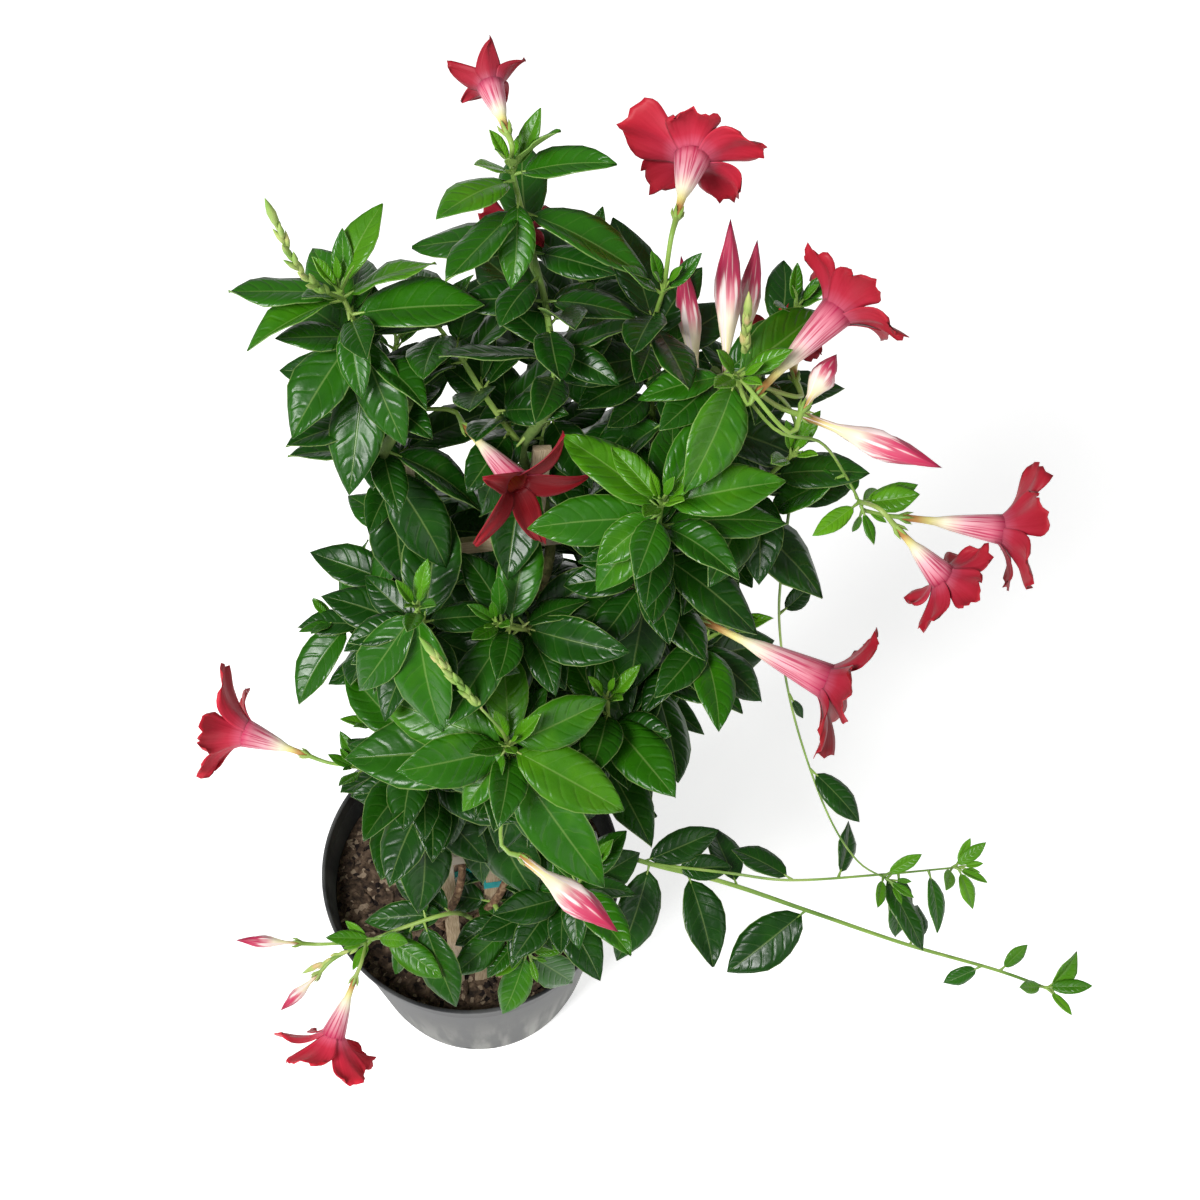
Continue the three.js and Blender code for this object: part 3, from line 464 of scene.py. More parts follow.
# Leafy shoots. Green stems that leave a woody one at a height, or another shoot below its tip, and
# follow a route. Waxy leaves stand on them, first those given by distance below the tip, azimuth,
# elevation and length, then opposite pairs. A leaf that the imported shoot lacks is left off.
shoot_radius = 2
thin_shoots = {"pair": 1.1, "hanging": 1.1, "trailing_upper": 1.2}
shoot_step = 34
stem_step = 6
pedicel_radius = 1.3
petiole = 5
petiole_radii = [1.2, 1.0, 0.6]
leaf_ratio = 0.2
leaf_tries = 16
leaf_rows = 8
leaf_columns = 6
tip_leaf_count = 6
packed_fold = 0.22
match_distance = 0.06
leaf_thickness = 0.5
leaf_tone = 0.62
small_leaf = 36
small_leaf_tone = 0.22
seeds_per_shoot = 64


def rows_of(fields, rows):
    return [SimpleNamespace(**dict(zip(fields.split(), row))) for row in rows]


shoots = rows_of("name carrier at first spacing pairs leaf_length bearing route leaves", [
    ("crown", "middle", 846, 22, 24, 2, 61, 20, [(74, 72, 885), (66, 98, 925), (60, 104, 965)],
     [(4, 356, 57, 38), (8, 345, 29, 55), (12, 212, 25, 52), (30, 226, 5, 62), (34, 335, -8, 75),
     (22, 258, -12, 50), (48, 90, 10, 60), (52, 170, 5, 62)]),
    ("left_crown", "left", 797, 26, 26, 1, 64, 60, [(-22, 62, 838), (-28, 76, 878), (-35, 85, 903)],
     [(4, 176, 10, 58), (8, 202, 12, 56), (2, 55, 40, 50), (7, 15, 25, 52), (18, 350, 18, 72),
     (16, 270, -20, 47), (28, 286, -30, 67), (30, 228, -12, 67), (46, 254, -28, 76), (20, 110, 10, 54),
     (40, 130, 0, 59)]),
    ("top_right", "right", 755, 26, 28, 4, 63, 10, [(134, 64, 800), (133, 72, 850), (137, 68, 898)], []),
    ("right_crown", "right", 846, 14, 14, 1, 59, 30, [(168, 28, 868), (170, 16, 882)], [(6, 244, -14, 66),
     (12, 30, 5, 70), (20, 184, 0, 50)]),
    ("right_rosette", "right", 670, 24, 28, 2, 68, 28, [(123, -10, 720), (125, -20, 780), (124, -27, 836)],
     [(12, 135, 22, 67), (4, 128, 26, 41), (3, 44, 34, 61), (6, 358, 20, 67), (22, 172, 8, 76),
     (14, 208, -12, 45), (20, 210, -26, 56), (70, 320, -10, 76), (34, 0, 5, 72), (40, 90, 0, 63)]),
    ("middle_rosette", "middle", 500, 30, 30, 2, 66, 10, [(34, -54, 560), (32, -74, 620), (30, -84, 668)],
     [(10, 155, 14, 84), (18, 176, 4, 100), (14, 188, -2, 86), (3, 84, 30, 64), (6, 13, 11, 66),
     (12, 326, -8, 80), (30, 297, -14, 100), (8, 228, -18, 50), (36, 120, 0, 70), (40, 30, -6, 74)]),
    ("low_left", "middle", 287, 90, 20, 0, 55, 0, [(-18, -84, 365), (-50, -90, 368), (-84, -96, 360)],
     [(70, 176, 6, 62), (78, 140, 17, 56), (46, 283, -26, 70), (48, 100, 22, 54), (38, 229, -40, 44),
     (14, 320, -10, 56)]),
    ("left_flower", "left", 457, 16, 22, 1, 66, 84, [(-48, -24, 490), (-72, -18, 508)], []),
    ("left_middle", "left", 627, 26, 30, 2, 66, 72, [(-24, 20, 668), (-18, 36, 708), (-13, 50, 738)],
     [(4, 272, -34, 78), (10, 234, -44, 66), (24, 292, -45, 84)]),
    ("left_back", "left", 585, 22, 22, 3, 63, 20, [(-30, 34, 592), (-52, 48, 600), (-74, 52, 596)], []),
    ("top_left", "middle", 797, 22, 19, 4, 63, 10, [(38, 62, 822), (24, 82, 842), (12, 94, 858)], []),
    ("top_back", "middle", 755, 38, 28, 3, 68, 70, [(80, 82, 790), (95, 106, 832), (106, 118, 872)], []),
    ("right_back", "right", 712, 44, 30, 3, 66, 15, [(176, 48, 765), (200, 66, 826), (214, 70, 868)], []),
    ("right_middle", "right", 700, 34, 30, 3, 70, 50, [(168, 14, 738), (190, 8, 786), (205, 4, 820)], []),
    ("right_low", "right", 542, 28, 30, 4, 72, 0, [(132, -18, 590), (156, -20, 636), (178, -26, 676)], []),
    ("back_right", "right", 585, 34, 30, 3, 70, 80, [(122, 40, 620), (146, 66, 655), (160, 84, 690)], []),
    ("front", "right", 500, 26, 30, 4, 72, 30, [(94, -50, 545), (98, -52, 595), (96, -48, 640)], []),
    ("left_front", "left", 500, 28, 26, 4, 66, 48, [(-20, -50, 530), (-26, -54, 570), (-26, -48, 610)], []),
    ("low_right", "right", 330, 22, 24, 4, 66, 20, [(54, -86, 356), (68, -92, 396), (84, -88, 440)], []),
    ("low_front", "middle", 330, 24, 20, 1, 55, 0, [(20, -86, 334), (30, -98, 322), (38, -106, 300)],
     [(4, 335, -50, 64), (8, 240, -40, 60), (18, 20, -10, 60)]),
    ("low_back_left", "left", 415, 24, 26, 2, 60, 345, [(-32, 8, 432), (-46, 26, 448), (-60, 36, 460)], []),
    ("back_left", "left", 755, 24, 28, 3, 66, 0, [(-18, 76, 770), (-16, 104, 784), (-8, 128, 796)], []),
    ("back_middle", "middle", 585, 30, 32, 3, 70, 20, [(46, 44, 606), (50, 76, 640), (54, 102, 680)], []),
    ("back_low", "middle", 415, 30, 32, 3, 70, 60, [(18, 8, 436), (10, 42, 470), (2, 70, 512)], []),
    ("back_low_right", "right", 415, 30, 32, 3, 70, 10, [(78, 8, 440), (94, 38, 476), (106, 64, 520)], []),
    ("trailing", "right", 372, 60, 40, 0, 50, 0, [(100, -56, 380), (140, -72, 376), (190, -88, 364),
     (250, -116, 356), (320, -146, 340), (390, -170, 320), (432, -188, 308)], [(330, 248, -17, 76),
     (300, 282, -14, 72), (205, 209, -14, 76), (335, 11, 12, 62), (312, 350, 10, 46), (60, 196, -18, 32),
     (45, 30, 22, 30), (4, 28, 23, 36), (120, 60, -10, 40), (260, 100, -8, 56)]),
    ("middle_front", "middle", 670, 20, 24, 3, 66, 60, [(52, -20, 692), (42, -32, 716), (30, -38, 738)], []),
    ("left_column", "left", 670, 24, 26, 3, 66, 62, [(-10, -24, 700), (-12, -33, 735), (-14, -36, 766)],
     [(3, 268, -46, 80), (6, 236, -44, 72)]),
    ("pair", "right_crown", 16, 20, 30, 0, 46, 0, [(190, 0, 852), (216, -2, 838), (234, -6, 806),
     (246, -16, 782)], [(6, 350, 20, 34), (10, 100, 10, 30), (30, 170, -40, 58)]),
    ("hanging", "right_crown", 24, 120, 66, 0, 42, 30, [(194, 26, 850), (212, 24, 806), (211, 4, 725),
     (214, -10, 640), (230, -34, 545), (258, -70, 450), (282, -98, 408), (306, -114, 398)],
     [(404, 12, 22, 48), (410, 146, 10, 26), (131, 309, -6, 50), (214, 300, -30, 20), (300, 30, 10, 30)]),
    ("trailing_upper", "trailing", 330, 24, 50, 0, 46, 20, [(190, -84, 376), (234, -100, 388),
     (301, -106, 392), (364, -105, 382)], [(130, 140, 6, 50), (62, 293, -9, 62), (50, 268, -30, 50),
     (26, 275, -8, 46), (2, 286, -8, 32), (96, 60, 10, 44)]),
])


def heading(azimuth, elevation):
    turn, climb = radians(azimuth), radians(elevation)
    return Vector((cos(turn) * cos(climb), sin(turn) * cos(climb), sin(climb)))


def point_on(shoot, distance):
    joints = shoot.joints
    reach = min(0.999, max(0.02, distance / shoot.length)) * (len(joints) - 1)
    joint = int(reach)
    low, high = joints[joint], joints[joint + 1]
    return low.lerp(high, reach - joint), (high - low).normalized()


def leaf_at(foot, outward, upper, lean, length, half_width, sag, below, seed):
    upper = Quaternion(outward, lean) @ (upper - outward * upper.dot(outward)).normalized()
    return SimpleNamespace(foot=foot, outward=outward, upper=upper, across=outward.cross(upper),
                           length=length, half_width=half_width, sag=sag, below=below, seed=seed)


def leaf_place(shoot, index, attempt):
    def draw(kind):
        return scatter(shoot.number * seeds_per_shoot + index, attempt * 8 + kind) - 0.5
    wander = 0 if attempt == 0 else 14 + 5 * attempt
    forward = 0
    if index < len(shoot.leaves):
        below, azimuth, elevation, length = shoot.leaves[index]
        distance = shoot.length - below
    else:
        pair, hand = divmod(index - len(shoot.leaves), 2)
        distance = shoot.first + pair * shoot.spacing
        azimuth = shoot.bearing + 90 * pair + 180 * hand + 24 * draw(1)
        elevation = 6 + 30 * draw(2)
        length = shoot.leaf_length * (1 + 0.28 * draw(3))
        forward = 0.3
    foot, along = point_on(shoot, distance)
    outward = heading(azimuth + wander * draw(4), elevation + 0.8 * wander * draw(5))
    if forward:
        outward = (outward + along * (forward - 0.8 * outward.dot(along))).normalized()
    size = length * (1 - 0.018 * attempt)
    upper = Vector((0, 0, 0.8)) + along * 0.25
    upper += Vector((foot.x - 60, foot.y - 20, 0)).normalized() * 0.25
    return leaf_at(foot, outward, upper, radians(36 * draw(6)), size,
                   size * leaf_ratio * (1 + 0.25 * draw(7)), 0.2 + 0.24 * draw(8),
                   shoot.length - distance, shoot.number * seeds_per_shoot + index)


def on_blade(place, reach, aside=0, lift=0):
    lift -= place.sag * max(0, reach - petiole) ** 2 / place.length
    return place.foot + place.outward * reach + place.across * aside + place.upper * lift


def stands(corners, place):
    blade, wide = place.length - petiole, place.half_width
    marks = [on_blade(place, place.length)] + [
        on_blade(place, petiole + blade * share, hand * wide * part, packed_fold * wide * part)
        for share, part in ((0.7, 0.86), (0.3, 1)) for hand in (-1, 1)]
    return sum(corners.find(mark * MM)[2] < match_distance * MM for mark in marks) >= 3


def leaf_outline(share):
    round_part = sin(pi * share ** 0.94) ** 0.62 if 0 < share < 1 else 0.0
    narrowed = max(0.0, (share - 0.74) / 0.26)
    return max(0.015, 1.15 * round_part * (1 - 0.36 * narrowed ** 0.8))


def grow_blade(shape, tone_layer, place, tone):
    made = bmesh.ops.create_grid(shape, x_segments=leaf_columns, y_segments=leaf_rows, size=1.0,
                                 calc_uvs=True)
    blade, wide, seed = place.length - petiole, place.half_width, place.seed
    fold = 0.26 + 0.44 * scatter(seed, 90) ** 1.6
    wave = 0.04 + 0.10 * scatter(seed, 91)
    turn = 6.3 * scatter(seed, 92)
    tip_turn = 0.16 * (scatter(seed, 93) - 0.5)
    roll_out = 0.10 + 0.22 * scatter(seed, 94)
    for vert in made["verts"]:
        aside, share = vert.co.x, (vert.co.y + 1) / 2
        share = 0.55 * share + 0.45 * (1 - cos(pi * share)) / 2
        half = wide * leaf_outline(share)
        lift = half * (fold * (sqrt(aside * aside + 0.02) - 0.14) - roll_out * abs(aside) ** 3.2)
        lift += wide * wave * abs(aside) ** 1.5 * sin(turn + 10 * share + (1.9 if aside > 0 else 0))
        sideways = half * aside * (1 - 0.1 * fold) + blade * tip_turn * share ** 3
        vert.co = on_blade(place, petiole + blade * share, sideways, lift) * MM
        vert[tone_layer] = tone


def leaf_finish(name, young, middle, old, roughness, gloss):
    finish, skin, place = new_finish(name, roughness, gloss)
    flat = put(place.tree, "UVMap")
    tone = put(place.tree, "Attribute", output="Fac", attribute_name="tone")
    aside = abs(part_of(flat, "X") - 0.5) * 2.0
    rib = between(aside, 0.055, 0.012)
    cloud = speckle(place, 45, 3)
    climb = part_of(flat, "Y") - aside.maths("POWER", 1.4) * 0.17 + cloud * 0.09
    swing = abs((climb * 27.0).maths("SINE"))
    vein = between(swing, 0.14, 0.0) * between(aside, 0.95, 0.6)
    green = shades(tone + (cloud - 0.5) * 0.5, [(0.0, old), (0.5, middle), (1.0, young)])
    pale = mixed(0.45, green, (0.38, 0.52, 0.16))
    for share in (vein * 0.12, rib * 0.42, between(aside, 0.95, 0.995) * 0.8):
        green = mixed(share, green, pale)
    feed(skin["Base Color"], green)
    feed(skin["Roughness"], speckle(place, 120, 2) * 0.3 + (roughness - 0.15))
    pucker = between(swing, 0.0, 0.7) * between(aside, 0.0, 0.3)
    raise_grain(skin, pucker - rib * 0.7 + speckle(place, 160, 2) * 1.1, 0.34, 0.0009)
    return finish


leaf_upper = leaf_finish("leaf_upper", (0.10, 0.30, 0.006), (0.019, 0.115, 0.002), (0.005, 0.04, 0.002),
                         0.31, 0.3)
leaf_under = leaf_finish("leaf_under", (0.34, 0.50, 0.11), (0.19, 0.34, 0.07), (0.10, 0.20, 0.04), 0.6, 0.2)
green_stem, skin, place = new_finish("green_stem", 0.45, 0.4)
stem_shades = [(0.3, (0.10, 0.21, 0.03)), (0.55, (0.24, 0.38, 0.07)), (0.75, (0.34, 0.40, 0.12))]
feed(skin["Base Color"], shades(speckle(place, 30, 3), stem_shades))
raise_grain(skin, speckle(place, 400, 2), 0.3, 0.0004)

plants = {}
stem_runs = {}
leaf_places = {}
for number, shoot in enumerate(shoots, 1):
    if shoot.carrier in sides:
        shoot.node, start = shoot.name, twine_point(sides[shoot.carrier], shoot.at)
    else:
        parent = plants[shoot.carrier]
        shoot.node, start = parent.name, point_on(parent, parent.length - shoot.at)[0]
    route = [start] + [Vector(point) for point in shoot.route]
    shoot.number, shoot.length = number, curve_marks(route)[-1]
    shoot.joints = spaced(route, steps_of(shoot.length, shoot_step))
    plants[shoot.name] = shoot
    radius = thin_shoots.get(shoot.name, shoot_radius)
    points = spaced(route, steps_of(shoot.length, stem_step))
    radii = [radius * (1.08 - 0.45 * step / len(points)) for step in range(len(points))]
    stem_runs.setdefault(shoot.node, []).append((points, radii))
    leaf_places.setdefault(shoot.node, [])

for shoot in shoots:
    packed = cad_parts[f"shoot_{shoot.node}"].data.vertices
    corners = kdtree.KDTree(len(packed))
    for vert in packed:
        corners.insert(vert.co, vert.index)
    corners.balance()
    for index in range(len(shoot.leaves) + 2 * shoot.pairs):
        places = (leaf_place(shoot, index, attempt) for attempt in range(leaf_tries))
        place = next((place for place in places if stands(corners, place)), None)
        if place:
            leaf_places[shoot.node].append(place)


def tip_leaves(shoot):
    tip, along = shoot.joints[-1], (shoot.joints[-1] - shoot.joints[-2]).normalized()
    for order in range(tip_leaf_count):
        pair, hand = divmod(order, 2)
        seed = shoot.number * seeds_per_shoot + 50 + order
        azimuth = shoot.bearing + 90 * pair + 180 * hand + 40 * (scatter(seed, 1) - 0.5)
        outward = (heading(azimuth, 30) + along * (0.5 + 0.5 * (2 - pair))).normalized()
        upper = Vector((0.01, 0, 1)) + along * 0.4
        length = 9 + 8 * pair + 7 * scatter(seed, 2)
        yield leaf_at(tip - along * (1 + 3 * pair), outward, upper, 0, length + petiole,
                      length * 0.17, 0.15 * scatter(seed, 3), 0, seed)


def thicken(piece, thickness):
    solid = piece.modifiers.new("thickness", "SOLIDIFY")
    solid.thickness = thickness * MM
    solid.offset = -1
    solid.material_offset = 1


def settle_shoot(short, places, stems, nodes, painted_shade):
    shape = bmesh.new()
    tone_layer = shape.verts.layers.float.new("tone")
    shape.loops.layers.uv.new("UVMap")
    for place in places:
        # The shoot's painted shade, or painted light where it is above zero, shifts each leaf's tone.
        tone = leaf_tone + painted_shade - place.below / 120 + 0.3 * (scatter(place.seed, 95) - 0.5)
        if place.length < small_leaf:
            tone += small_leaf_tone
        grow_blade(shape, tone_layer, place, min(1.0, max(0.05, tone)))
        reaches = (0, petiole * 0.6, petiole + 0.05 * place.length)
        stems.append(([place.foot + place.outward * reach for reach in reaches], petiole_radii))
    thicken(settle(shape, f"leaves_{short}", [leaf_upper, leaf_under], nodes), leaf_thickness)
    settle(rods(stems), f"stems_{short}", [green_stem], nodes, 60)


# Open flowers. Each is a trumpet, narrow and brownish at its foot, cream with pink streaks up
# the tube, and spread at the mouth into five broad crimson lobes that overlap and twist. The
# lobes of each flower are brightened or darkened by their own amount, as painted light and shade.
rim_curl = 30
lobe_turn = 72
star_angle = 24
flower_steps = 36
lobe_columns = 12
lobe_rows = 11
stalk_steps = 10
petal_thickness = 0.4
blooms = rows_of("name shoot back base axis tube mouth lobe flare half_angle roll fade", [
    ("top", "crown", 0, (59, 106, 985), (-0.15, 0.98, 0.02), 31, 7, 15, 32, 22, 0, 0.66),
    ("behind_crown", "crown", 78, (68, 112, 884), (-0.08, 0.94, -0.33), 26, 8, 14, 57, 27, 0, 0.5),
    ("top_right", "top_right", 0, (145, 88, 930), (0.35, 0.93, 0), 42, 10, 28, 56, 28, 60, 0.95),
    ("right", "right_crown", 4, (178, 10, 872), (0.78, 0.57, 0.28), 64, 10, 31, 34, 28, 0, 0.8),
    ("right_behind", "right_crown", 12, (210, 40, 839), (0.12, 0.94, -0.31), 36, 8, 16, 44, 27, 50, 0.7),
    ("far_upper", "pair", 0, (269, -20, 776), (0.97, -0.23, -0.06), 58, 9, 29, 38, 28, 0, 0.72),
    ("far_lower", "pair", 8, (256, -42, 804), (0.62, -0.52, -0.58), 41, 8.5, 24, 42, 27, 8, 0.72),
    ("centre", "left_crown", 84, (24, 50, 813), (0.46, -0.87, 0.17), 54, 8, 36, 40, 22, 64, 0.6),
    ("right_low", "right_rosette", 128, (153, -40, 714), (0.82, -0.57, -0.07), 82, 11, 33, 36, 28, 30, 0.72),
    ("left", "left_flower", 0, (-105, -1, 499), (-0.89, 0.45, 0.07), 46, 10, 36, 26, 27, 30, 1.2),
    ("low_left", "low_left", 0, (-94, -123, 363), (-0.46, -0.73, -0.51), 46, 9, 31, 36, 26, 60, 1.35),
])


def stand_on(shape, flower, roll):
    turn = Vector((0, 1, 0)).rotation_difference(Vector(flower.axis).normalized())
    turn = turn @ Quaternion((0, 1, 0), radians(roll))
    upright = Matrix(((0, 1, 0, 0), (0, 0, 1, 0), (1, 0, 0, 0), (0, 0, 0, 1)))
    place = Matrix.Translation(Vector(flower.base) * MM) @ turn.to_matrix().to_4x4() @ upright
    bmesh.ops.transform(shape, matrix=place, verts=shape.verts)


def wrap_round(shape, faces, length):
    layer = shape.loops.layers.uv.verify()
    for face in faces:
        middle = face.calc_center_median()
        seam = atan2(middle.y, middle.x)
        for loop in face.loops:
            turn = atan2(loop.vert.co.y, loop.vert.co.x) if loop.vert.co.xy.length > 1e-6 else seam
            turn = seam + (turn - seam + pi) % (2 * pi) - pi
            loop[layer].uv = (turn / (2 * pi), loop.vert.co.z / length)


def face_out(shape, faces, leans):
    for face in faces:
        face.normal_update()
    if sum(leans(face) for face in faces) < 0:
        bmesh.ops.reverse_faces(shape, faces=faces)


def grow_lobe(shape, bloom, lobe, outline):
    made = bmesh.ops.create_grid(shape, x_segments=lobe_columns, y_segments=lobe_rows, size=1.0,
                                 calc_uvs=True)
    layer = shape.loops.layers.uv.verify()
    change = scatter(bloom.number, lobe) - 0.5
    middle, rim = outline
    seed = bloom.number * 8 + lobe
    mouth, tube = bloom.mouth, bloom.tube
    star = bloom.half_angle < star_angle
    for vert in made["verts"]:
        aside, share = vert.co.x, (vert.co.y + 1) / 2
        if star:
            reach = share * (1 + 0.2 * change)
        else:
            twisted = aside - 0.15 * share
            reach = share * (1 + 0.22 * change) * (1 - 0.15 * abs(twisted) ** 2.2 * share)
            reach += 0.09 * max(0, 1 - abs(twisted + 0.2) / 0.3) * max(0, share - 0.85) / 0.15
            reach += 0.025 * share ** 3 * sin(13 * aside + 9 * scatter(seed, 3))
            half = 42 - (36 - bloom.half_angle) * min(1, (share / 0.8) ** 1.5)
            half *= 1 - 0.35 * max(0, (share - 0.75) / 0.25) ** 2
        bend = min(1.4, reach)
        radius = mouth + 2 * (1 - bend) * bend * (middle[0] - mouth) + bend * bend * (rim[0] - mouth)
        height = tube + 2 * (1 - bend) * bend * (middle[1] - tube) + bend * bend * (rim[1] - tube)
        radius -= 1.0 * (1 - share)
        ruffle = 0.25 if star else 0.75
        height += 9 * change * share ** 2 - 1.5 * (1 - share)
        height += ruffle * (3.4 * aside * (0.25 + share)
                            + 2.6 * share * sin(5.6 * aside + 6 * scatter(seed, 5) + 3 * share)
                            + 1.2 * share ** 3 * sin(14 * aside + 6 * scatter(seed, 7)))
        turned_up = max(0, aside * (1 if change > 0 else -1)) ** 2
        height += ruffle * (scatter(seed, 6) - 0.3) * 13 * share ** 2 * turned_up
        if star:
            height += 1.8 * abs(aside) * (1 - share)
            half = mouth * (0.9 + 0.55 * min(1, share / 0.4)) * (1 - share) ** 0.7
            half = min(42, degrees(half / radius) + 1)
        angle = radians(lobe * lobe_turn + half * aside + 9 * share * share)
        vert.co = Vector((radius * cos(angle), radius * sin(angle), height)) * MM
    faces = list({face for vert in made["verts"] for face in vert.link_faces})
    for face in faces:
        for loop in face.loops:
            loop[layer].uv.y += 1.0001
    face_out(shape, faces, lambda face: -face.normal.z)


def petal_finish(name, tube_stops, streak, lobe_stops, edge):
    finish, skin, place = new_finish(name, 0.5, 0.22)
    skin["Sheen Weight"].default_value = 0.03
    skin["Sheen Roughness"].default_value = 0.4
    flat = put(place.tree, "UVMap")
    fade = put(place.tree, "Attribute", output="Fac", attribute_name="fade")
    along = part_of(flat, "Y")
    lobe_along = along - 1.0
    tube_lines, lobe_lines = stretched(flat, 30.0, 1.1, 1.0), stretched(flat, 13.0, 0.8, 1.0)
    lines = between(speckle(tube_lines, 1.0, 2), 0.48, 0.6) * between(along, 0.3, 0.75)
    tube = mixed(lines * 0.85, shades(along, tube_stops), streak)
    fan = speckle(lobe_lines, 1.0, 3)
    lobe = mixed(between(fan, 0.42, 0.68) * 0.45, shades(lobe_along, lobe_stops), edge)
    flow = between(speckle(lobe_lines, 2.0, 2), 0.5, 0.66) * between(lobe_along, 0.45, 0.0)
    lobe = mixed(flow * 0.5, lobe, lobe_stops[0][1])
    # Painted light and shade: the lobe colour is scaled by each flower's own factor.
    lobe = mixed(1.0, lobe, fade, "MULTIPLY")
    petal = mixed(between(along, 0.995, 1.0), tube, lobe)
    mottle = between(speckle(place, 90, 3), 0.5, 0.8)
    feed(skin["Base Color"], mixed(mottle * 0.25, petal, edge))
    raise_grain(skin, fan, 0.3, 0.0008)
    return finish


crimson = (0.27, 0.003, 0.009)
petal_inside = petal_finish(
    "petal_inside",
    [(0.0, (0.5, 0.3, 0.1)), (0.5, (0.7, 0.34, 0.08)), (0.8, (0.6, 0.14, 0.04)), (1.0, crimson)],
    (0.42, 0.03, 0.03), [(0.0, (0.26, 0.008, 0.012)), (0.35, crimson), (1.0, (0.44, 0.012, 0.022))],
    (0.20, 0.003, 0.010))
petal_outside = petal_finish(
    "petal_outside",
    [(0.0, (0.30, 0.10, 0.03)), (0.14, (0.46, 0.24, 0.07)), (0.26, (0.66, 0.6, 0.22)),
     (0.42, (0.80, 0.74, 0.56)), (0.62, (0.74, 0.42, 0.46)), (1.0, (0.52, 0.06, 0.13))],
    (0.44, 0.015, 0.08),
    [(0.0, (0.56, 0.10, 0.17)), (0.3, (0.50, 0.025, 0.055)), (1.0, (0.48, 0.016, 0.032))],
    (0.38, 0.008, 0.022))


def flower_stalk(flower):
    shoot = plants[flower.shoot]
    runs = stem_runs[shoot.node]
    axis, base = Vector(flower.axis).normalized(), Vector(flower.base)
    start = point_on(shoot, shoot.length - flower.back)[0]
    bow = min(16, (start - base).length * 0.45)
    points = spaced([start, base - axis * bow, base - axis * seat_gap], stalk_steps)
    shares = [step / stalk_steps for step in range(stalk_steps + 1)]
    runs.append((points, [pedicel_radius * (1 + 0.5 * share ** 6) for share in shares]))
    aside = axis.orthogonal().normalized()
    for sepal in range(5):
        out = Quaternion(axis, radians(72 * sepal)) @ aside
        sepal_points = [base + axis * up + out * away for up, away in ((-1.5, 0.9), (2.5, 2.9), (6, 3.6))]
        runs.append((sepal_points, [1.1, 1.0, 0.15]))


for number, bloom in enumerate(blooms, 1):
    bloom.number = number
    flare, curl = radians(bloom.flare), radians(bloom.flare + rim_curl)
    lobe, tube, mouth = bloom.lobe, bloom.tube, bloom.mouth
    middle = (mouth + lobe * 0.5 * sin(flare), tube + lobe * 0.5 * cos(flare))
    rim = (mouth + lobe * sin(curl), tube + lobe * cos(curl))
    profile = [(2.1, 0), (2.0, tube * 0.1), (2.1, tube * 0.22), (2.6, tube * 0.34)]
    profile += [(2.6 + (mouth - 2.6) * share ** 0.8, tube * (0.34 + 0.66 * share))
                for share in (0.2, 0.4, 0.6, 0.8, 1)]
    shape = turned_shape(profile, flower_steps)
    wrap_round(shape, shape.faces[:], tube * MM)
    face_out(shape, shape.faces[:], lambda face: face.normal.xy.dot(face.calc_center_median().xy))
    for side_lobe in range(5):
        grow_lobe(shape, bloom, side_lobe, (middle, rim))
    stand_on(shape, bloom, bloom.roll)
    # Each vertex carries its flower's painted light and shade factor.
    painted_light_layer = shape.verts.layers.float.new("fade")
    for vert in shape.verts:
        vert[painted_light_layer] = bloom.fade
    name = f"bloom_{bloom.name}"
    thicken(settle(shape, f"petals_{name}", [petal_outside, petal_inside], [name]),
            petal_thickness)
    flower_stalk(bloom)

# Buds. A bud is the closed trumpet, its lobes wound round each other into a point: brownish
# cream at the foot, streaked with white, and rose to magenta towards the tip.
buds = rows_of("name shoot back base axis tube girth", [
    ("right_first", "right_crown", 28, (157, 45, 827), (-0.04, 0.79, 0.61), 78, 6.5),
    ("right_second", "right_crown", 20, (171, 42, 835), (0.11, 0.76, 0.64), 93, 7.5),
    ("right_third", "right_crown", 8, (184, 62, 828), (0.21, 0.74, 0.64), 70, 6),
    ("right_short", "right_crown", 0, (204, 4, 863), (0.62, 0.78, 0.09), 40, 7),
    ("right_long", "right_crown", 0, (208, 12, 845), (0.8, -0.59, 0.11), 82, 7.5),
    ("middle", "middle_rosette", 30, (31, -130, 596), (0.69, -0.73, 0), 78, 9.5),
    ("low_left", "low_left", 0, (-135, -84, 341), (-0.95, 0.08, 0.31), 48, 4.5),
    ("low_left_small", "low_left", 0, (-123, -108, 336), (-0.79, -0.5, -0.36), 40, 4.5),
])
bud_outline = [(0.3, 0.14), (0.34, 0.24), (0.6, 0.35), (0.88, 0.46), (1, 0.55), (0.94, 0.64),
               (0.74, 0.74), (0.48, 0.84), (0.22, 0.93), (0, 1)]
bud_steps = 30

bud_skin, skin, place = new_finish("bud_skin", 0.42, 0.35)
flat = put(place.tree, "UVMap")
along = part_of(flat, "Y")
wound = stretched(flat, 14.0, 1.4, 1.0)
lines = speckle(wound, 1.0, 2)
rose = shades(along, [(0.0, (0.36, 0.14, 0.04)), (0.12, (0.55, 0.36, 0.12)), (0.24, (0.74, 0.68, 0.36)),
                      (0.42, (0.84, 0.74, 0.58)), (0.54, (0.66, 0.26, 0.30)), (0.66, (0.52, 0.05, 0.12)),
                      (0.85, (0.42, 0.02, 0.07)), (1.0, (0.28, 0.012, 0.05))])
white_lines = between(lines, 0.52, 0.6) * between(along, 0.95, 0.55)
red_lines = between(lines, 0.46, 0.38) * (between(along, 0.35, 0.6) * between(along, 1.0, 0.7))
rose = mixed(white_lines * 0.8, rose, (0.88, 0.74, 0.7))
rose = mixed(red_lines * 0.7, rose, (0.52, 0.02, 0.08))
rose = mixed(white_lines * between(along, 0.9, 0.6), rose, (0.8, 0.66, 0.64))
feed(skin["Base Color"], rose)
raise_grain(skin, speckle(wound, 1.0, 3), 0.3, 0.0008)

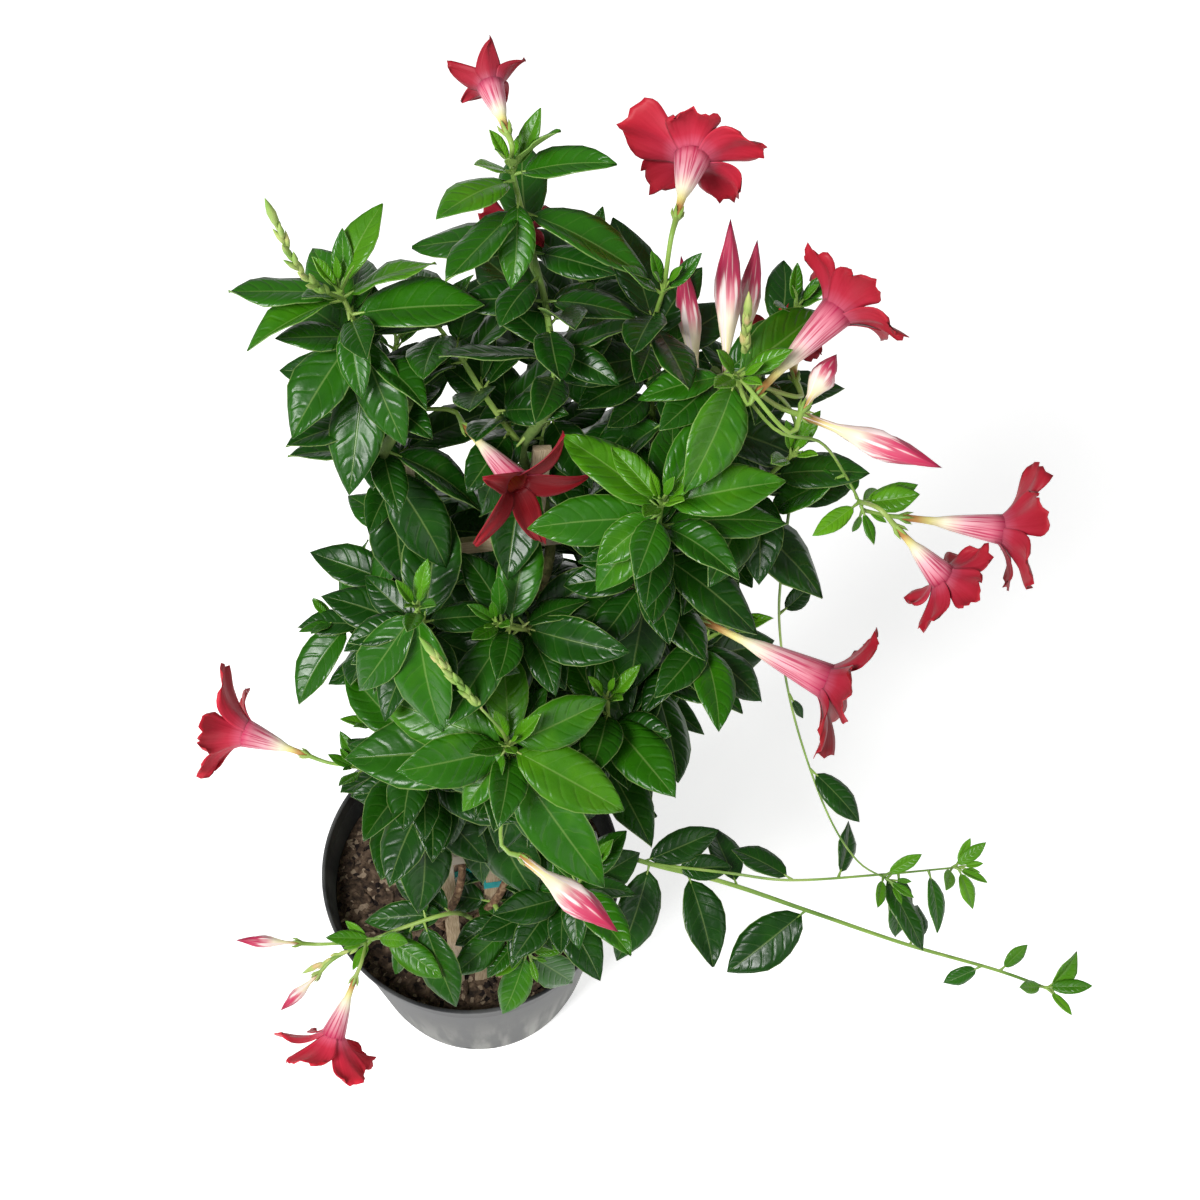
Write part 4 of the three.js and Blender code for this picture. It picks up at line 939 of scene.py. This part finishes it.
for bud in buds:
    girth, tube = bud.girth, bud.tube
    profile = [(0, 0), (girth * 0.3, 0.2)] + [(girth * out, tube * up) for out, up in bud_outline]
    shape = turned_shape(profile, bud_steps)
    wrap_round(shape, shape.faces[:], tube * MM)
    for vert in shape.verts:
        climb = vert.co.z / (tube * MM)
        turn = atan2(vert.co.y, vert.co.x)
        ridge = 1 + 0.12 * min(1, max(0, (climb - 0.25) * 3)) * cos(5 * (turn - 3.2 * climb))
        vert.co.x *= ridge
        vert.co.y *= ridge
    stand_on(shape, bud, 0)
    settle(shape, f"closed_bud_{bud.name}", [bud_skin], [f"bud_{bud.name}"])
    flower_stalk(bud)

# Young flower spikes. Each is a short green stalk set with small scaly buds, the last one long
# and pointed. They are pale green, brownish at the tips of the scales.
spike_skin, skin, place = new_finish("spike_skin", 0.5, 0.3)
scale_shades = [(0.35, (0.20, 0.36, 0.06)), (0.55, (0.42, 0.50, 0.15)), (0.7, (0.64, 0.42, 0.22))]
feed(skin["Base Color"], shades(speckle(place, 60, 2), scale_shades))
raise_grain(skin, speckle(place, 300, 2), 0.25, 0.0005)
spike_steps = 16
spikes = rows_of("name shoot back bare count route", [
    ("middle", "middle_rosette", 6, 0.5, 20, [(26, -84, 690), (10, -76, 724), (-6, -66, 758)]),
    ("top_left", "left_crown", 8, 0.25, 18, [(-44, 64, 932), (-52, 58, 958), (-57, 58, 988)]),
    ("right", "right_crown", 34, 0.3, 15, [(178, 34, 858), (177, 36, 880), (176, 38, 904)]),
    ("low_left", "low_left", 4, 0.25, 5, [(-96, -98, 352), (-106, -98, 346), (-120, -100, 336)]),
])
for spike in spikes:
    shoot, count = plants[spike.shoot], spike.count
    start = point_on(shoot, shoot.length - spike.back)[0]
    points = spaced([start] + [Vector(point) for point in spike.route], spike_steps)
    stem_runs[shoot.node].append((points, [1.3 - 0.05 * step for step in range(spike_steps + 1)]))
    shape = bmesh.new()
    for number in range(count):
        share = spike.bare + (1 - spike.bare) * number / (count - 1)
        reach = share * (spike_steps - 0.01)
        low, high = points[int(reach)], points[int(reach) + 1]
        spot, along = low.lerp(high, reach % 1), (high - low).normalized()
        last = number == count - 1
        turn = Quaternion(along, 2.4 * number) @ along.orthogonal().normalized()
        lean = along if last else (along + turn * 0.24).normalized()
        length = 22 if last else 11 + 5 * scatter(number, count)
        girth = 2.4 if last else 1.5 + 0.5 * scatter(number, 3)
        made = bmesh.ops.create_uvsphere(shape, u_segments=8, v_segments=6, radius=1.0)
        stand = Vector((0, 0, 1)).rotation_difference(lean)
        for vert in made["verts"]:
            thin = girth * (1 - 0.8 * max(0, vert.co.z) ** 1.4)
            local = Vector((vert.co.x * thin, vert.co.y * thin, (vert.co.z + 0.9) * length / 2))
            vert.co = (spot + stand @ local) * MM
    settle(shape, f"spike_{spike.name}", [spike_skin])

# Small and old leaves. Small leaves fill the green shoots between their pairs, old ones hang in
# pairs from the woody stems. Both keep clear of the other leaves, of the front of each flower and
# of the open mix on the left. With them every shoot gets its blades, stalks and stem.
leaf_clearance = 8
clear_shares = (0.35, 0.6, 0.85, 1.0)
rib_shares = (0.25, 0.4, 0.55, 0.7, 0.8, 0.9, 1.0)
flower_clearance = 17
flower_view = 220
open_mix_left = -60
open_mix_height = 520
front_of_plant = Vector((0, -0.45, 0.89))
fill_step = 14
fill_start = 12
fill_end = 14
fill_tries = 5
old_tries = 8
fill_seeds = 4000
old_seeds = 9000
old_leaf_step = 21
old_leaf_length = 72
old_leaf_below = 95
old_leaf_lowest = 330
old_leaf_highest = 840
open_front = 430
# Painted shade and light for each shoot: shoots at the back and inside are darkened, the rosettes, trailing
# and lower right ones kept lighter, as light falls on them.
usual_painted_shade = -0.22
painted_shade_of_shoots = {
    "crown": 0.0, "left_crown": 0.0, "right_rosette": 0.0, "middle_rosette": 0.0, "low_left": 0.0,
    "trailing": 0.1, "right_crown": -0.06, "right_low": 0.0, "low_right": 0.0, "front": -0.08,
    "low_front": -0.1, "right_middle": -0.06, "back_low_right": -0.06, "back_right": -0.1,
}


def midrib(place, shares):
    return [on_blade(place, place.length * share) for share in shares]


def draws(seed, attempt):
    return [scatter(seed, 10 * attempt + kind) for kind in (1, 2, 3)]


def height_over(blade, mark):
    offset = mark - blade.foot
    beyond = offset.dot(blade.outward) - petiole
    share = beyond / (blade.length - petiole)
    aside = abs(offset.dot(blade.across))
    if not 0.03 < share < 0.97 or aside > 0.85 * blade.half_width * leaf_outline(share):
        return None
    return offset.dot(blade.upper) - 0.3 * aside + blade.sag * beyond ** 2 / blade.length


def passes_through(rib, blade):
    heights = [height_over(blade, mark) for mark in rib]
    return any(None not in pair and pair[0] * pair[1] < 0 for pair in zip(heights, heights[1:]))


standing = [place for places in leaf_places.values() for place in places]
standing_marks = [mark for place in standing for mark in midrib(place, clear_shares)]
standing_leaves = [(place, midrib(place, rib_shares)) for place in standing]
flower_marks = [Vector(flower.base) + Vector(flower.axis).normalized() * (flower.tube * share)
                for flower in blooms + buds for share in (0, 0.33, 0.67, 1)]


def hides_flower(mark):
    for flower in flower_marks:
        before = (mark - flower).dot(front_of_plant)
        if 0 < before < flower_view and (mark - flower - front_of_plant * before).length < flower_clearance:
            return True
    return False


def free_leaf(foot, outward, length, upper, seed, below):
    place = leaf_at(foot, outward, upper, 0.8 * (scatter(seed, 4) - 0.5), length,
                    length * (0.195 + 0.04 * scatter(seed, 5)), 0.15 + 0.3 * scatter(seed, 6), below, seed)
    marks = midrib(place, clear_shares)
    if marks[-1].x < open_mix_left and marks[-1].z < open_mix_height:
        return None
    if any(hides_flower(mark) for mark in marks):
        return None
    if any((mark - other).length < leaf_clearance for mark in marks for other in standing_marks):
        return None
    rib = midrib(place, rib_shares)
    for other, other_rib in standing_leaves:
        if (foot - other.foot).length < length + other.length:
            if passes_through(rib, other) or passes_through(other_rib, place):
                return None
    standing_marks.extend(marks)
    standing_leaves.append((place, rib))
    return place


for shoot in shoots:
    if shoot.pairs == 0 or shoot.name == "left_flower":
        continue
    for order in range(int((shoot.length - fill_end) / fill_step)):
        distance = fill_start + fill_step * order
        for hand in range(2):
            seed = fill_seeds + seeds_per_shoot * shoot.number + 2 * order + hand
            foot, along = point_on(shoot, distance)
            for attempt in range(fill_tries):
                aim, climb, size = draws(seed, attempt)
                turn = shoot.bearing + 45 + 90 * order + 180 * hand + 60 * (aim - 0.5)
                outward = (heading(turn, -10 + 40 * climb) + along * 0.15).normalized()
                length = shoot.leaf_length * (0.62 + 0.2 * size)
                place = free_leaf(foot, outward, length, Vector((0, 0, 0.8)) + heading(turn, 0) * 0.2, seed,
                                  shoot.length - distance + 20)
                if place:
                    leaf_places[shoot.node].append(place)
                    break

old_leaves = {name: [] for name in sides}
for name, side in sides.items():
    for order in range(int((old_leaf_highest - old_leaf_lowest) / old_leaf_step)):
        height = old_leaf_lowest + order * old_leaf_step
        for hand in range(2):
            seed = old_seeds + 200 * (side + 1) + 2 * order + hand
            for attempt in range(old_tries):
                aim, climb, size = draws(seed, attempt)
                turn = 47 * order + 180 * hand + 50 * (aim - 0.5)
                outward = heading(turn, -8 - 44 * climb)
                if height < open_front and outward.y < 0.2 or name == "left" and outward.x < -0.2:
                    continue
                foot = twine_point(side, height) + heading(turn, 0) * (woody_radius - 1)
                length = old_leaf_length * (1 + 0.34 * (size - 0.5))
                place = free_leaf(foot, outward, length, Vector((0.001, 0, 1)) + heading(turn, 0) * 0.2, seed,
                                  old_leaf_below)
                if place:
                    old_leaves[name].append(place)
                    break

for node, places in leaf_places.items():
    young = [place for shoot in shoots if shoot.node == node for place in tip_leaves(shoot)]
    slot = "young_leaf" if node == "trailing" else "leaf"
    settle_shoot(node, places + young, stem_runs[node], [f"shoot_{node}"],
                 painted_shade_of_shoots.get(node, usual_painted_shade))
for name, places in old_leaves.items():
    settle_shoot(f"old_{name}", places, [], [], 0.0)

# Studio. A plain white floor, soft light from the left and above, and the camera. None of it
# belongs to the part.
floor_shape = bmesh.new()
bmesh.ops.create_grid(floor_shape, x_segments=1, y_segments=1, size=8.0)
ground = new_object("floor", mesh_of(floor_shape, "floor"))
floor_paint, skin = new_finish("floor_paint", 0.9, 0.1)[:2]
feed(skin["Base Color"], (0.92, 0.92, 0.92))
feed(skin["Emission Color"], (1, 1, 1))
feed(skin["Emission Strength"], 0.55)
ground.data.materials.append(floor_paint)

sky = bpy.data.worlds.new("studio")
sky.use_nodes = True
backdrop = sky.node_tree.nodes["Background"].inputs
feed(backdrop[0], (1, 1, 1))
feed(backdrop[1], 0.26)
bpy.context.scene.world = sky
middle_of_plant = Vector((0.06, 0, 0.6))
for name, spot, power, size in (("window", (-1.3, -1.0, 2.7), 92, 1.0), ("fill", (1.8, -1.4, 1.8), 12, 1.6)):
    light = bpy.data.lights.new(name, "AREA")
    light.energy = power
    light.size = size
    aim = (middle_of_plant - Vector(spot)).to_track_quat("-Z", "Y").to_matrix().to_4x4()
    new_object(name, light).matrix_world = Matrix.Translation(spot) @ aim

focal_pixels = 1800
picture_pixels = 1200
down, aside, roll = radians(61.9), radians(10.7), radians(2.9)
ahead = Vector((sin(aside) * cos(down), cos(aside) * cos(down), -sin(down)))
level_right = ahead.cross(Vector((0, 0, 1))).normalized()
level_up = level_right.cross(ahead)
right = level_right * cos(roll) + level_up * sin(roll)
up = level_up * cos(roll) - level_right * sin(roll)
eye = bpy.data.cameras.new("camera")
eye.sensor_width = 36
eye.lens = 36 * focal_pixels / picture_pixels
eye.clip_start, eye.clip_end = 0.05, 30
camera = new_object("camera", eye)
camera.matrix_world = (Matrix.Translation((0, -0.518, 1.666))
                       @ Matrix((right, up, -ahead)).transposed().to_4x4())
bpy.context.scene.camera = camera
bpy.context.scene.view_settings.view_transform = "Standard"
